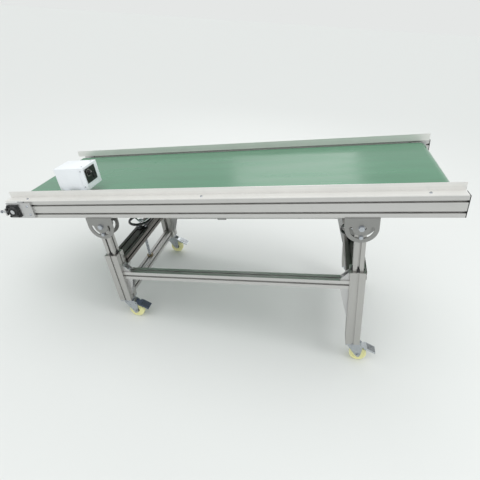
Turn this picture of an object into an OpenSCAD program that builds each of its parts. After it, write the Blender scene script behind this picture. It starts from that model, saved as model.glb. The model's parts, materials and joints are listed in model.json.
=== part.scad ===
// Inclined belt conveyor section on a height-adjustable castered stand.
// The parts are drawn square to the belt bed and then leaned as one, so that all four
// wheels stand on z = 0. Bed frame: x along the belt towards the raised end, y across,
// z square to the belt, zero on top of the side rails and midway between the leg pairs.

/* [Bed] */
// Length of each side rail
rail_len = 1730; // [1400:10:2400]
// Width of a side rail profile
rail_w = 40; // [40:1:50]
// Height of a side rail profile
rail_h = 80; // [80:1:100]
// Overhang of the rail's raised end past the leg centre line
right_overhang = 323; // [250:1:500]
// Width of the belt
belt_w = 530; // [300:5:900]
// Gap between the belt's edge and the rail
belt_side_gap = 12; // [8:1:30]
// Thickness of the belt
belt_t = 2; // [1:0.5:4]
// Depth of the belt surface below the rail top
belt_drop = 6; // [3:1:12]
// Thickness of the slider plate under the belt
slider_t = 2; // [1:0.5:4]
// Number of cross members between the rails
cross_count = 4; // [2:1:6]

/* [Side guards] */
// Thickness of the folded guard sheet
guard_t = 3; // [1.5:0.5:4]
// Height of the guard above the rail top
guard_h = 30; // [20:1:80]
// How far the guards run past the rails at the lower end
guard_over = 98; // [60:1:140]
// Number of screws along each guard
guard_screws = 3; // [2:1:8]

/* [Drums] */
// Diameter of the drive and idler drums
drum_d = 64; // [50:1:66]
// Diameter of the drum shaft journals
shaft_d = 20; // [15:1:25]
// Distance from the rail end out to the drive drum's axis
drive_out = 60; // [50:1:80]
// Distance from the rail end in to the idler drum's axis
idler_in = 46; // [42:1:80]
// Diameter of the return roller
return_d = 40; // [30:1:50]
// Diameter of the idler and return roller journals
journal_d = 12; // [10:1:16]

/* [Stand] */
// Distance between the left and right leg centre lines
leg_spacing = 1064; // [800:2:1400]
// Side of the square upper leg profile
upper_w = 40; // [30:1:45]
// Room on each side of the upper leg for its plastic guides
guide_room = 2; // [1:0.5:4]
// Wall of the lower leg profile
lower_wall = 8; // [6:0.5:9]
// Length of the lower legs at the low end
left_lower_len = 260; // [240:1:400]
// Length of the lower legs at the raised end
right_lower_len = 392; // [300:1:500]
// Depth of the low end's lower leg tops below the rail top
left_leg_top = 270; // [240:1:330]
// Depth of the raised end's lower leg tops below the rail top
right_leg_top = 318; // [260:1:360]
// Length of the upper legs at the low end
left_upper_len = 427; // [400:1:430]
// Length of the upper legs at the raised end
right_upper_len = 542; // [480:1:600]
// Side of the square beam and lift crossbar profile
beam_w = 40; // [30:1:45]
// Height of the gussets under the side beams at the low end
low_gusset = 96; // [60:1:120]
// Height of the gussets under the side beams at the raised end
raised_gusset = 150; // [80:1:200]
// Depth of the side beams' centre line below the rail top
beam_depth = 385; // [370:1:420]
// Width of the fixed crossbar laid flat
cross_w = 80; // [60:1:90]

/* [Pivots] */
// Width of the half-round pivot brackets
pivot_w = 120; // [110:1:140]
// Thickness of the pivot bracket sheet
pivot_t = 4; // [3:0.5:6]
// Depth of the pivot bolt below the rail
pivot_drop = 41; // [38:1:50]
// Diameter of the pivot bolts
pivot_d = 12; // [8:1:14]
// Radius of the arc slot about the pivot
arc_r = 38; // [32:1:44]
// Diameter of the clamp bolts
clamp_d = 8; // [6:1:10]

/* [Lift screws] */
// Diameter of the lead screws
screw_d = 16; // [12:1:20]
// Diameter of the handwheels
wheel_d = 125; // [100:1:160]
// Diameter of the handwheel rim's section
rim_d = 14; // [10:1:18]

/* [Casters] */
// Diameter of the caster wheels
caster_d = 75; // [60:1:80]
// Width of the caster tread
caster_tread = 24; // [20:1:26]
// Height of the caster's head, from the leg's foot to the wheel
caster_head = 40.5; // [36:0.5:60]
// Trail of the caster axle behind its swivel
caster_trail = 28; // [22:1:36]
// Diameter of the caster axle
axle_d = 10; // [8:1:12]

/* [Control box] */
// Length of the control box
box_l = 140; // [110:1:200]
// Depth of the control box across the belt
box_w = 108; // [90:1:140]
// Height of the control box
box_h = 96; // [80:1:130]
// Thickness of the control box sheet
box_t = 1.5; // [1:0.5:3]
// Height of the box's underside above the rail top
box_lift = 24; // [10:1:40]
// Distance from the guards' lower end to the control box
box_in = 262; // [150:1:600]

/* [Hidden] */
$fn = 48;

fit = 0.05;          // radial running clearance of a shaft in its bore
gap = 0.4;           // clearance between faces of different moving bodies
hole_play = 0.3;     // radial clearance of a screw in its hole
cut = 1;             // how far a cutting shape runs past the face it opens

// Profile slots
slot_w = 8.2;        // mouth of a profile slot
slot_lip = 4.5;      // lip thickness at the slot's mouth
slot_in_w = 13;      // inner width of the slot
slot_in_d = 4.5;     // depth of the slot's inner part
module_w = 40;       // pitch of the slots on a wide face
core_d = 7;          // core hole of a profile

// Places along the bed
leg_x = leg_spacing / 2;
rail_x1 = leg_x + right_overhang;
rail_x0 = rail_x1 - rail_len;
guard_x0 = rail_x0 - guard_over;
guard_x1 = rail_x1 - 2;
drive_x = rail_x0 - drive_out;
idler_x = rail_x1 - idler_in;

// Places across the bed
inner_y = belt_w / 2 + belt_side_gap;
outer_y = inner_y + rail_w;
leg_y = inner_y + rail_w / 2;
drum_half = belt_w / 2 + 3;

// Heights square to the bed
drum_gap = 0.3;      // film between a turning drum and the belt
belt_in_r = drum_d / 2 + drum_gap;
belt_out_r = belt_in_r + belt_t;
drum_z = -belt_drop - belt_out_r;
slider_z = -belt_drop - belt_t;
pivot_z = -rail_h - pivot_drop;
clamp_z = pivot_z - arc_r;
upper_top_z = -rail_h - 16;
crossbar_below = 36; // fixed crossbar top below the lower leg's top
left_foot_z = -left_leg_top - left_lower_len;
right_foot_z = -right_leg_top - right_lower_len;
caster_r = caster_d / 2;
caster_drop = caster_head + caster_r;
lower_w = upper_w + 2 * (guide_room + lower_wall);

// The lean that puts all four wheels on the floor
incline = atan((left_foot_z - right_foot_z) / leg_spacing);
lift = caster_r - (caster_trail - leg_x) * sin(incline) - (left_foot_z - caster_drop) * cos(incline);

// Each end of the stand: x, lower leg top, lower leg length, upper leg length
LEFT = [-leg_x, -left_leg_top, left_lower_len, left_upper_len];
RIGHT = [leg_x, -right_leg_top, right_lower_len, right_upper_len];
// Each corner: x, side of the bed, foot height
CORNERS = [[-leg_x, -1, left_foot_z], [-leg_x, 1, left_foot_z],
           [leg_x, -1, right_foot_z], [leg_x, 1, right_foot_z]];

module on_bed() { translate([0, 0, lift]) rotate([0, -incline, 0]) children(); }
// A copy on the near side and a mirrored one on the far side
module both_sides() { children(); mirror([0, 1, 0]) children(); }

// ---- shared shapes -------------------------------------------------------------------

// A profile slot opening at the origin towards +y
module slot_2d() {
    translate([-slot_w / 2, -slot_lip - cut / 2]) square([slot_w, slot_lip + cut]);
    translate([-slot_in_w / 2, -slot_lip - slot_in_d]) square([slot_in_w, slot_in_d]);
}
// A slotted profile section, with one slot for each whole module along each face
module profile_2d(w, h) {
    nx = max(1, floor(w / module_w + 0.01));
    ny = max(1, floor(h / module_w + 0.01));
    difference() {
        square([w, h], center = true);
        for (i = [0 : nx - 1]) translate([(i - (nx - 1) / 2) * module_w, 0]) {
            translate([0, h / 2]) slot_2d();
            mirror([0, 1]) translate([0, h / 2]) slot_2d();
            for (j = [0 : ny - 1]) translate([0, (j - (ny - 1) / 2) * module_w]) circle(d = core_d);
        }
        for (j = [0 : ny - 1]) translate([0, (j - (ny - 1) / 2) * module_w]) {
            translate([w / 2, 0]) rotate(-90) slot_2d();
            translate([-w / 2, 0]) rotate(90) slot_2d();
        }
    }
}
// Profile bars along x, y and z, centred on their own section
module bar_x(len, w, h) {
    rotate([90, 0, 90]) linear_extrude(len, center = true) profile_2d(w, h);
}
module bar_y(len, w, h) {
    rotate([90, 0, 0]) linear_extrude(len, center = true) profile_2d(w, h);
}
module pin_y(r, y0, y1) { translate([0, y1, 0]) rotate([90, 0, 0]) cylinder(r = r, h = y1 - y0); }
module pin_x(r, x0, x1) { translate([x0, 0, 0]) rotate([0, 90, 0]) cylinder(r = r, h = x1 - x0); }
module hex_y(af, y0, y1) {
    translate([0, y1, 0]) rotate([90, 0, 0]) cylinder(d = af / cos(30), h = y1 - y0, $fn = 6);
}
module hex_x(af, x0, x1) {
    translate([x0, 0, 0]) rotate([0, 90, 0]) cylinder(d = af / cos(30), h = x1 - x0, $fn = 6);
}
// A socket button screw: head on top of z = 0, shank below
screw_r = 3;
head_r = 5.5;
head_h = 3.2;
module button_screw(len) {
    difference() {
        union() {
            cylinder(r1 = head_r, r2 = head_r - 1.5, h = head_h);
            translate([0, 0, -len]) cylinder(r = screw_r, h = len + cut / 2);
        }
        translate([0, 0, head_h - 1.8]) cylinder(d = 4 / cos(30), h = 1.8 + cut, $fn = 6);
    }
}

// ---- stand: lower frame --------------------------------------------------------------

cavity_w = lower_w - 2 * lower_wall;
groove_d = 5;        // depth of the lower leg's outer grooves
tongue_t = 12;       // thickness of the lift crossbar's tongues
slit_side = 2;       // clearance beside a tongue in its slit
slit_over = 6;       // clearance above a tongue at the top of its travel
down_stroke = [0, 40];   // stroke below rest at the low and raised ends
up_stroke = [80, 80];    // stroke above rest at the low and raised ends

// A lower leg on the near side: hollow, grooved on three faces, slit on its inner face
module lower_leg(end, k) {
    len = end[2];
    bar_top = lift_bar_z(end) + beam_w / 2;
    slit_top = bar_top + up_stroke[k] + slit_over;
    translate([end[0], -leg_y, 0]) difference() {
        translate([0, 0, end[1] - len]) linear_extrude(len) difference() {
            square(lower_w, center = true);
            square(cavity_w, center = true);
            for (a = [90, 180, -90]) rotate(a)
                translate([-slot_w / 2, lower_w / 2 - groove_d]) square([slot_w, groove_d + cut]);
        }
        translate([-tongue_t / 2 - slit_side, lower_w / 2 - lower_wall - cut, end[1] - len - cut])
            cube([tongue_t + 2 * slit_side, lower_wall + 2 * cut, slit_top - (end[1] - len) + cut]);
        for (dx = [-module_w / 2, module_w / 2])
            translate([dx, 0, fixed_bar_z(end) - beam_w / 2 - bracket_reach * bolt_at])
                pin_y(screw_r + fit, lower_w / 2 - bolt_grip - cut, lower_w / 2 + cut);
    }
}
function lift_bar_z(end) = upper_top_z - end[3] + beam_w / 2;
function fixed_bar_z(end) = end[1] - crossbar_below - beam_w / 2;

module left_lower_legs() on_bed() color([0.72, 0.71, 0.71]) both_sides() lower_leg(LEFT, 0);
module right_lower_legs() on_bed() color([0.70, 0.70, 0.70]) both_sides() lower_leg(RIGHT, 1);

beam_y = leg_y;
beam_len = leg_spacing - lower_w;
module side_beams() on_bed() color([0.80, 0.80, 0.80])
    both_sides() translate([0, -beam_y, -beam_depth]) bar_x(beam_len, beam_w, beam_w);

fixed_bar_len = 2 * leg_y - lower_w;
screw_room = 2;      // clearance round a lead screw in its fixed crossbar
module fixed_crossbar(end) {
    translate([end[0], 0, fixed_bar_z(end)]) difference() {
        bar_y(fixed_bar_len, cross_w, beam_w);
        cylinder(r = screw_d / 2 + screw_room, h = beam_w + 2 * cut, center = true);
    }
}
module left_fixed_crossbar() on_bed() color([0.55, 0.55, 0.55]) fixed_crossbar(LEFT);
module right_fixed_crossbar() on_bed() color([0.55, 0.55, 0.55]) fixed_crossbar(RIGHT);

// Corner brackets: two flanges and two webs, in the corner that opens towards +x and +z
bracket_w = 28;
bracket_t = 4;
bracket_reach = 34;  // length of a bracket's foot, and the height of a short one
bolt_at = 0.6;       // where along a flange its screw stands
bolt_grip = 3.5;     // how far a screw reaches into a profile's slot
module bracket(height) {
    difference() {
        union() {
            translate([0, -bracket_w / 2, 0]) cube([bracket_reach, bracket_w, bracket_t]);
            translate([0, -bracket_w / 2, 0]) cube([bracket_t, bracket_w, height]);
            for (y = [-bracket_w / 2 + bracket_t, bracket_w / 2])
                translate([0, y, 0]) rotate([90, 0, 0]) linear_extrude(bracket_t)
                    polygon([[0, 0], [bracket_reach, 0], [bracket_reach, bracket_t],
                             [bracket_t, height], [0, height]]);
        }
        translate([bracket_reach * bolt_at, 0, -cut])
            cylinder(r = screw_r + hole_play, h = bracket_t + 2 * cut);
        translate([-cut, 0, height * bolt_at]) rotate([0, 90, 0])
            cylinder(r = screw_r + hole_play, h = bracket_t + 2 * cut);
    }
}
// Both screws of a bracket, heads on the inside of the flanges
module bracket_bolts(height) {
    translate([bracket_reach * bolt_at, 0, bracket_t]) button_screw(bracket_t + bolt_grip);
    translate([bracket_t, 0, height * bolt_at]) rotate([0, 90, 0]) button_screw(bracket_t + bolt_grip);
}
// Corners above (up = 1) or below (up = -1) one end of both side beams, end = -1 or 1
module at_beam_corners(end, up) {
    both_sides() translate([end * beam_len / 2, -beam_y, -beam_depth + up * beam_w / 2])
        scale([-end, 1, up]) children();
}
// Corners under a fixed crossbar, against the lower legs, in line with the crossbar's slots
module at_crossbar_corners(end) {
    both_sides() for (dx = [-module_w / 2, module_w / 2])
        translate([end[0] + dx, -leg_y + lower_w / 2, fixed_bar_z(end) - beam_w / 2])
            mirror([0, 0, 1]) rotate([0, 0, 90]) children();
}
module corner_brackets() on_bed() color([0.78, 0.78, 0.78]) {
    for (end = [-1, 1]) at_beam_corners(end, 1) bracket(bracket_reach);
    at_beam_corners(-1, -1) bracket(low_gusset);
    at_beam_corners(1, -1) bracket(raised_gusset);
    for (end = [LEFT, RIGHT]) at_crossbar_corners(end) bracket(bracket_reach);
}
module frame_bolts() on_bed() color([0.35, 0.35, 0.36]) {
    for (end = [-1, 1]) at_beam_corners(end, 1) bracket_bolts(bracket_reach);
    at_beam_corners(-1, -1) bracket_bolts(low_gusset);
    at_beam_corners(1, -1) bracket_bolts(raised_gusset);
    for (end = [LEFT, RIGHT]) {
        at_crossbar_corners(end) bracket_bolts(bracket_reach);
        for (dx = [-module_w / 2, module_w / 2])
            translate([end[0] + dx, 0, fixed_bar_z(end) + beam_w / 2 + bearing_h / 2])
                button_screw(bearing_h / 2 + bolt_grip);
    }
}

// Plastic guides at the lower legs' mouths, one on each face of the upper leg
guide_w = 12;
guide_in = 34;       // depth of a guide inside the leg
guide_out = 13;      // height of a guide above the leg
guide_key = 3;       // depth of the guide's key in the upper leg's slot
module slide_guide() {
    r0 = upper_w / 2 + gap / 2;
    r1 = cavity_w / 2;
    rotate([90, 0, 90]) linear_extrude(guide_w, center = true)
        polygon([[r0, -guide_in], [r1, -guide_in], [r1, 0], [r1 + 4, 0], [r1 + 4, 3],
                 [r0 + 1, guide_out], [r0, guide_out]]);
    translate([-slot_w / 2 + gap, r0 - guide_key, 0]) cube([slot_w - 2 * gap, guide_key + 0.5, guide_out]);
}
module slide_guides() on_bed() color([0.08, 0.08, 0.08])
    for (end = [LEFT, RIGHT]) both_sides() translate([end[0], -leg_y, end[1]])
        for (a = [0, 90, 180, 270]) rotate(a) slide_guide();

// Round flanged bearings for the lead screws on the fixed crossbars
bearing_r = module_w / 2 + 8;
bearing_boss = screw_d / 2 + 4.5;
bearing_h = 14;
module screw_bearings() on_bed() color([0.45, 0.46, 0.48])
    for (end = [LEFT, RIGHT]) translate([end[0], 0, fixed_bar_z(end) + beam_w / 2]) difference() {
        union() {
            cylinder(r = bearing_r, h = bearing_h / 2);
            cylinder(r = bearing_boss, h = bearing_h);
        }
        translate([0, 0, -cut]) cylinder(r = screw_d / 2 + fit, h = bearing_h + 2 * cut);
        for (dx = [-module_w / 2, module_w / 2])
            translate([dx, 0, -cut]) cylinder(r = screw_r + hole_play, h = bearing_h);
    }

// ---- casters -------------------------------------------------------------------------

plate_t = 4;
race_r = 21;
race_h = 8;
king_r = 5;
king_in = 1.5;       // how far the kingpin reaches into the plate
plate_bolt_in = 5;   // plate bolts' distance in from the plate's edges
plate_head = 4;      // height of the plate bolts' heads
race_room = gap;     // clearance between the race and the swivelling crown
crown_z = -plate_t - race_h - race_room;
crown_t = 3.5;
cheek_in = caster_tread / 2 + 2.5;
cheek_t = 3;
pedal_x = caster_trail + 10;
axle_nut = 14;       // across flats of the axle's head and nut
axle_nut_t = 6;
hub_room = 1;        // side clearance between the wheel's hub and the fork
hub_r = axle_d / 2 + 6;
pedal_z = -29;
pedal_pin_r = 3;
module at_casters(i) { translate([CORNERS[i][0], CORNERS[i][1] * leg_y, CORNERS[i][2]]) children(); }
module caster_plates() on_bed() color([0.75, 0.76, 0.78])
    for (i = [0 : 3]) at_casters(i) difference() {
        union() {
            translate([-lower_w / 2, -lower_w / 2, -plate_t]) cube([lower_w, lower_w, plate_t]);
            translate([0, 0, -plate_t - race_h]) cylinder(r = race_r, h = race_h + cut);
            for (sx = [-1, 1], sy = [-1, 1])
                translate([sx * (lower_w / 2 - plate_bolt_in), sy * (lower_w / 2 - plate_bolt_in),
                           -plate_t - plate_head])
                    cylinder(d = 9, h = plate_head + cut, $fn = 6);
        }
        translate([0, 0, -plate_t - race_h - cut])
            cylinder(r = king_r + fit, h = race_h + king_in + 2 * cut);
    }
// Swivelling fork: crown, two cheeks, kingpin and axle bolt
module caster_fork() {
    translate([0, 0, crown_z - crown_t]) cylinder(r = race_r + 3, h = crown_t);
    translate([0, 0, crown_z - crown_t]) cylinder(r = king_r, h = crown_t + race_h + race_room + king_in);
    for (s = [0, 1]) mirror([0, s, 0]) difference() {
        translate([0, cheek_in + cheek_t, 0]) rotate([90, 0, 0]) linear_extrude(cheek_t)
            polygon([[-18, crown_z], [30, crown_z], [pedal_x + 7, pedal_z + 5],
                     [pedal_x + 7, pedal_z - 7], [caster_trail + 12, -caster_drop + 6],
                     [caster_trail + 8, -caster_drop - 9], [caster_trail - 4, -caster_drop - 11],
                     [caster_trail - 12, -caster_drop - 4], [-19, crown_z - 10]]);
        translate([pedal_x, 0, pedal_z]) pin_y(pedal_pin_r + fit, 0, cheek_in + cheek_t + cut);
    }
    // The crown reaches the cheeks
    translate([-16, -cheek_in - cheek_t, crown_z - crown_t])
        cube([44, 2 * (cheek_in + cheek_t), crown_t]);
    translate([caster_trail, 0, -caster_drop]) {
        pin_y(axle_d / 2, -cheek_in - cheek_t - cut, cheek_in + cheek_t + cut);
        hex_y(axle_nut, -cheek_in - cheek_t - axle_nut_t, -cheek_in - cheek_t);
        hex_y(axle_nut, cheek_in + cheek_t, cheek_in + cheek_t + axle_nut_t);
    }
}
// Wheel: a hub a little wider than the web, and a tread with bevelled edges
module caster_wheel() {
    t = caster_tread / 2;
    h = cheek_in - hub_room;
    translate([caster_trail, 0, -caster_drop]) rotate([90, 0, 0]) rotate_extrude()
        polygon([[axle_d / 2 + fit, -h], [hub_r, -h], [hub_r, -t + 4], [caster_r - 11, -t + 4],
                 [caster_r - 9, -t], [caster_r - 3, -t], [caster_r, -t + 4],
                 [caster_r, t - 4], [caster_r - 3, t], [caster_r - 9, t],
                 [caster_r - 11, t - 4], [hub_r, t - 4], [hub_r, h], [axle_d / 2 + fit, h]]);
}
// Brake pedal: an arm between the cheeks and a wide tread plate beyond the wheel
pedal_w = 42;
module brake_pedal() {
    arm = cheek_in - gap;
    translate([pedal_x, 0, pedal_z]) {
        pin_y(pedal_pin_r, -cheek_in - cheek_t, cheek_in + cheek_t);
        translate([0, arm, 0]) rotate([90, 0, 0]) linear_extrude(2 * arm)
            polygon([[-9, -3], [-4, -6], [5, -6], [18, -8], [18, -2], [4, 4], [-4, 4], [-9, 1]]);
        translate([0, pedal_w / 2, 0]) rotate([90, 0, 0]) linear_extrude(pedal_w)
            polygon([[14, -8.5], [22, -10], [62, -30], [64, -26], [26, -3], [14, -1]]);
    }
}
module near_left_caster_fork() on_bed() color([0.72, 0.74, 0.76]) at_casters(0) caster_fork();
module far_left_caster_fork() on_bed() color([0.72, 0.74, 0.76]) at_casters(1) caster_fork();
module near_right_caster_fork() on_bed() color([0.72, 0.74, 0.76]) at_casters(2) caster_fork();
module far_right_caster_fork() on_bed() color([0.72, 0.74, 0.76]) at_casters(3) caster_fork();
module near_left_caster_wheel() on_bed() color([0.88, 0.85, 0.45]) at_casters(0) caster_wheel();
module far_left_caster_wheel() on_bed() color([0.88, 0.85, 0.45]) at_casters(1) caster_wheel();
module near_right_caster_wheel() on_bed() color([0.88, 0.85, 0.45]) at_casters(2) caster_wheel();
module far_right_caster_wheel() on_bed() color([0.88, 0.85, 0.45]) at_casters(3) caster_wheel();
module near_left_brake_pedal() on_bed() color([0.25, 0.29, 0.34]) at_casters(0) brake_pedal();
module far_left_brake_pedal() on_bed() color([0.25, 0.29, 0.34]) at_casters(1) brake_pedal();
module near_right_brake_pedal() on_bed() color([0.25, 0.29, 0.34]) at_casters(2) brake_pedal();
module far_right_brake_pedal() on_bed() color([0.25, 0.29, 0.34]) at_casters(3) brake_pedal();

// ---- stand: lifting parts ------------------------------------------------------------

// An upper leg on the near side, with its pivot and clamp bolt holes; play is the pivot bolt's
module upper_leg(end, play) {
    translate([end[0], -leg_y, 0]) difference() {
        translate([0, 0, upper_top_z - end[3]]) linear_extrude(end[3]) profile_2d(upper_w, upper_w);
        translate([0, 0, pivot_z]) pin_y(pivot_d / 2 + play, -upper_w / 2 - cut, upper_w / 2 + cut);
        translate([0, 0, clamp_z]) pin_y(clamp_d / 2, -upper_w / 2 - cut, upper_w / 2 + cut);
    }
}
module left_upper_legs() on_bed() color([0.72, 0.72, 0.72]) both_sides() upper_leg(LEFT, fit);
module right_upper_legs() on_bed() color([0.72, 0.72, 0.72]) both_sides() upper_leg(RIGHT, 0);

nut_r = screw_d / 2 + 3;
nut_flange_r = nut_r + 6;
tongue_in = 14;      // how far a tongue's root reaches into the lift crossbar
nut_flange_h = 6;
// The lift crossbar reaches both upper legs through the lower legs' slits
module lift_crossbar(end) {
    bar_half = leg_y - lower_w / 2 - slit_side;
    translate([end[0], 0, lift_bar_z(end)]) difference() {
        union() {
            bar_y(2 * bar_half, beam_w, beam_w);
            both_sides() translate([-tongue_t / 2, -leg_y + upper_w / 2, -beam_w / 2])
                cube([tongue_t, lower_w / 2 - upper_w / 2 + tongue_in, beam_w]);
        }
        cylinder(r = nut_r + fit, h = beam_w + 2 * cut, center = true);
    }
}
module left_lift_crossbar() on_bed() color([0.76, 0.76, 0.76]) lift_crossbar(LEFT);
module right_lift_crossbar() on_bed() color([0.76, 0.76, 0.76]) lift_crossbar(RIGHT);
module screw_nut(end) {
    translate([end[0], 0, lift_bar_z(end)]) difference() {
        union() {
            translate([0, 0, -beam_w / 2]) cylinder(r = nut_r, h = beam_w + 1);
            translate([0, 0, beam_w / 2]) cylinder(r = nut_flange_r, h = nut_flange_h);
        }
        cylinder(r = screw_d / 2 + fit, h = 2 * beam_w, center = true);
    }
}
module left_screw_nut() on_bed() color([0.72, 0.60, 0.30]) screw_nut(LEFT);
module right_screw_nut() on_bed() color([0.72, 0.60, 0.30]) screw_nut(RIGHT);

// Lead screw: from the handwheel hub down past the lift crossbar's lowest place
hub_h = 26;
collar_r = screw_d / 2 + 5;
collar_h = 7;
screw_under = 2;     // how far a lead screw reaches past the nut at its lowest place
screw_foot = 4;      // least height of a lead screw's end above the lower leg's foot
top_nut = 1.5 * screw_d;
top_nut_h = 8;
function hub_z(end) = fixed_bar_z(end) + beam_w / 2 + bearing_h + gap;
module lead_screw(end, k) {
    bottom = max(lift_bar_z(end) - beam_w / 2 - down_stroke[k] - screw_under,
                 end[1] - end[2] + screw_foot);
    translate([end[0], 0, 0]) {
        translate([0, 0, bottom]) cylinder(r = screw_d / 2, h = hub_z(end) + hub_h - bottom);
        translate([0, 0, fixed_bar_z(end) - beam_w / 2 - gap - collar_h])
            cylinder(r = collar_r, h = collar_h);
        translate([0, 0, hub_z(end) + hub_h]) cylinder(d = top_nut / cos(30), h = top_nut_h, $fn = 6);
    }
}
module left_lead_screw() on_bed() color([0.66, 0.68, 0.72]) lead_screw(LEFT, 0);
module right_lead_screw() on_bed() color([0.66, 0.68, 0.72]) lead_screw(RIGHT, 1);
// Dished handwheel: torus rim, three sloping spokes and a bored hub
spoke_r = 4.5;
hub_out = screw_d / 2 + 8;
spoke_at = [30, 150, 270];
rim_rise = 32;       // height of the rim's centre above the hub's foot
module handwheel(end) {
    rim_r = (wheel_d - rim_d) / 2;
    rise = rim_rise - hub_h / 2;
    translate([end[0], 0, hub_z(end)]) {
        translate([0, 0, rim_rise]) rotate_extrude($fn = 96) translate([rim_r, 0]) circle(d = rim_d);
        difference() {
            union() {
                cylinder(r = hub_out, h = hub_h);
                for (a = spoke_at) rotate([0, 0, a]) translate([0, 0, hub_h / 2])
                    rotate([0, 90 - atan(rise / rim_r), 0])
                        cylinder(r = spoke_r, h = norm([rim_r, rise]));
            }
            translate([0, 0, -cut]) cylinder(r = screw_d / 2, h = hub_h + 2 * cut);
        }
    }
}
module left_handwheel() on_bed() color([0.09, 0.09, 0.10]) handwheel(LEFT);
module right_handwheel() on_bed() color([0.09, 0.09, 0.10]) handwheel(RIGHT);

// ---- pivots --------------------------------------------------------------------------

cheek_gap = 0.8;     // side play of the upper leg between the pivot cheeks
cheek_y0 = upper_w / 2 + cheek_gap;
arc_room = 2;        // clearance each side of the clamp bolt in its arc slot
arc_w = clamp_d + 2 * arc_room;
slide_play = 9;      // how far the raised end's pivot bolt can run along its slot
pivot_r = pivot_w / 2;
washer_t = 1.6;
flange_screws = [-pivot_w / 3, pivot_w / 3];
slide_room = 1;      // clearance of the pivot bolt in the raised end's slotted hole
// The half-round cheek, seen along y, with its origin on the pivot; run is the length of the
// pivot hole's slot, or 0 for a round hole
module cheek_2d(run) {
    hole_r = pivot_d / 2 + (run > 0 ? slide_room : fit);
    difference() {
        union() {
            circle(r = pivot_r, $fn = 96);
            translate([-pivot_r, 0]) square([pivot_w, pivot_drop]);
        }
        translate([-pivot_r - cut, pivot_drop]) square([pivot_w + 2 * cut, pivot_r]);
        circle(r = hole_r);
        if (run > 0) {
            translate([run, 0]) circle(r = hole_r);
            translate([0, -hole_r]) square([run, 2 * hole_r]);
        }
        difference() {
            circle(r = arc_r + arc_w / 2);
            circle(r = arc_r - arc_w / 2);
            translate([-pivot_r, 0]) square([pivot_w, pivot_r]);
        }
        for (s = [-1, 1]) translate([s * arc_r, 0]) circle(d = arc_w);
    }
}
// A pivot bracket on the near side: a flange under the rail and two cheeks beside the leg
module pivot_bracket(run) {
    translate([0, -leg_y, 0]) {
        difference() {
            translate([-pivot_r, -cheek_y0 - pivot_t, -rail_h - pivot_t])
                cube([pivot_w, 2 * (cheek_y0 + pivot_t), pivot_t]);
            for (x = flange_screws) translate([x, 0, -rail_h - pivot_t - cut])
                cylinder(r = screw_r + hole_play, h = pivot_t + 2 * cut);
        }
        for (y = [-cheek_y0, cheek_y0 + pivot_t])
            translate([0, y, pivot_z]) rotate([90, 0, 0]) linear_extrude(pivot_t) cheek_2d(run);
    }
}
module pivot_brackets() on_bed() color([0.55, 0.55, 0.54]) {
    translate([-leg_x, 0, 0]) both_sides() pivot_bracket(0);
    translate([leg_x, 0, 0]) both_sides() pivot_bracket(slide_play);
}
// A bolt through the cheeks and leg, head outside and nut inside, for the near side
module cross_bolt(d, z, washer_r) {
    y0 = cheek_y0 + pivot_t + gap;
    head_t = d * 0.55;
    flats = d * 1.6;
    translate([0, -leg_y, z]) {
        pin_y(d / 2, -y0 - cut, y0 + cut);
        pin_y(washer_r, -y0 - washer_t, -y0);
        pin_y(washer_r, y0, y0 + washer_t);
        hex_y(flats, -y0 - washer_t - head_t, -y0 - washer_t);
        hex_y(flats, y0 + washer_t, y0 + washer_t + head_t);
    }
}
module left_pivot_bolts() on_bed() color([0.80, 0.80, 0.82])
    translate([-leg_x, 0, 0]) both_sides() cross_bolt(pivot_d, pivot_z, pivot_d * 0.95);
module left_clamp_bolts() on_bed() color([0.80, 0.80, 0.82])
    translate([-leg_x, 0, 0]) both_sides() cross_bolt(clamp_d, clamp_z, clamp_d);
module right_pivot_and_clamp_bolts() on_bed() color([0.80, 0.80, 0.82])
    translate([leg_x, 0, 0]) both_sides() {
        cross_bolt(pivot_d, pivot_z, pivot_d * 0.95);
        cross_bolt(clamp_d, clamp_z, clamp_d);
    }

// ---- bed -----------------------------------------------------------------------------

module rail() {
    translate([(rail_x0 + rail_x1) / 2, -leg_y, -rail_h / 2]) bar_x(rail_len, rail_w, rail_h);
}
module near_rail() on_bed() color([0.76, 0.76, 0.75]) rail();
module far_rail() on_bed() color([0.76, 0.76, 0.75]) mirror([0, 1, 0]) rail();

// Folded guard: an upright at the rail's inner edge and a flange outwards over the rail
guard_len = guard_x1 - guard_x0;
screw_x0 = rail_x0 + 8;
screw_x1 = guard_x1 - 110;
screw_step = (screw_x1 - screw_x0) / (guard_screws - 1);
guard_screw_xs = [for (i = [0 : guard_screws - 1]) screw_x0 + i * screw_step];
module guard() {
    difference() {
        translate([guard_x0, -outer_y, 0]) {
            cube([guard_len, rail_w, guard_t]);
            translate([0, rail_w, 0]) cube([guard_len, guard_t, guard_h]);
        }
        for (x = guard_screw_xs) translate([x, -leg_y, -cut])
            cylinder(r = screw_r + hole_play, h = guard_t + 2 * cut);
    }
}
module near_guard() on_bed() color([0.95, 0.94, 0.94]) guard();
module far_guard() on_bed() color([0.93, 0.93, 0.93]) mirror([0, 1, 0]) guard();

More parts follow.
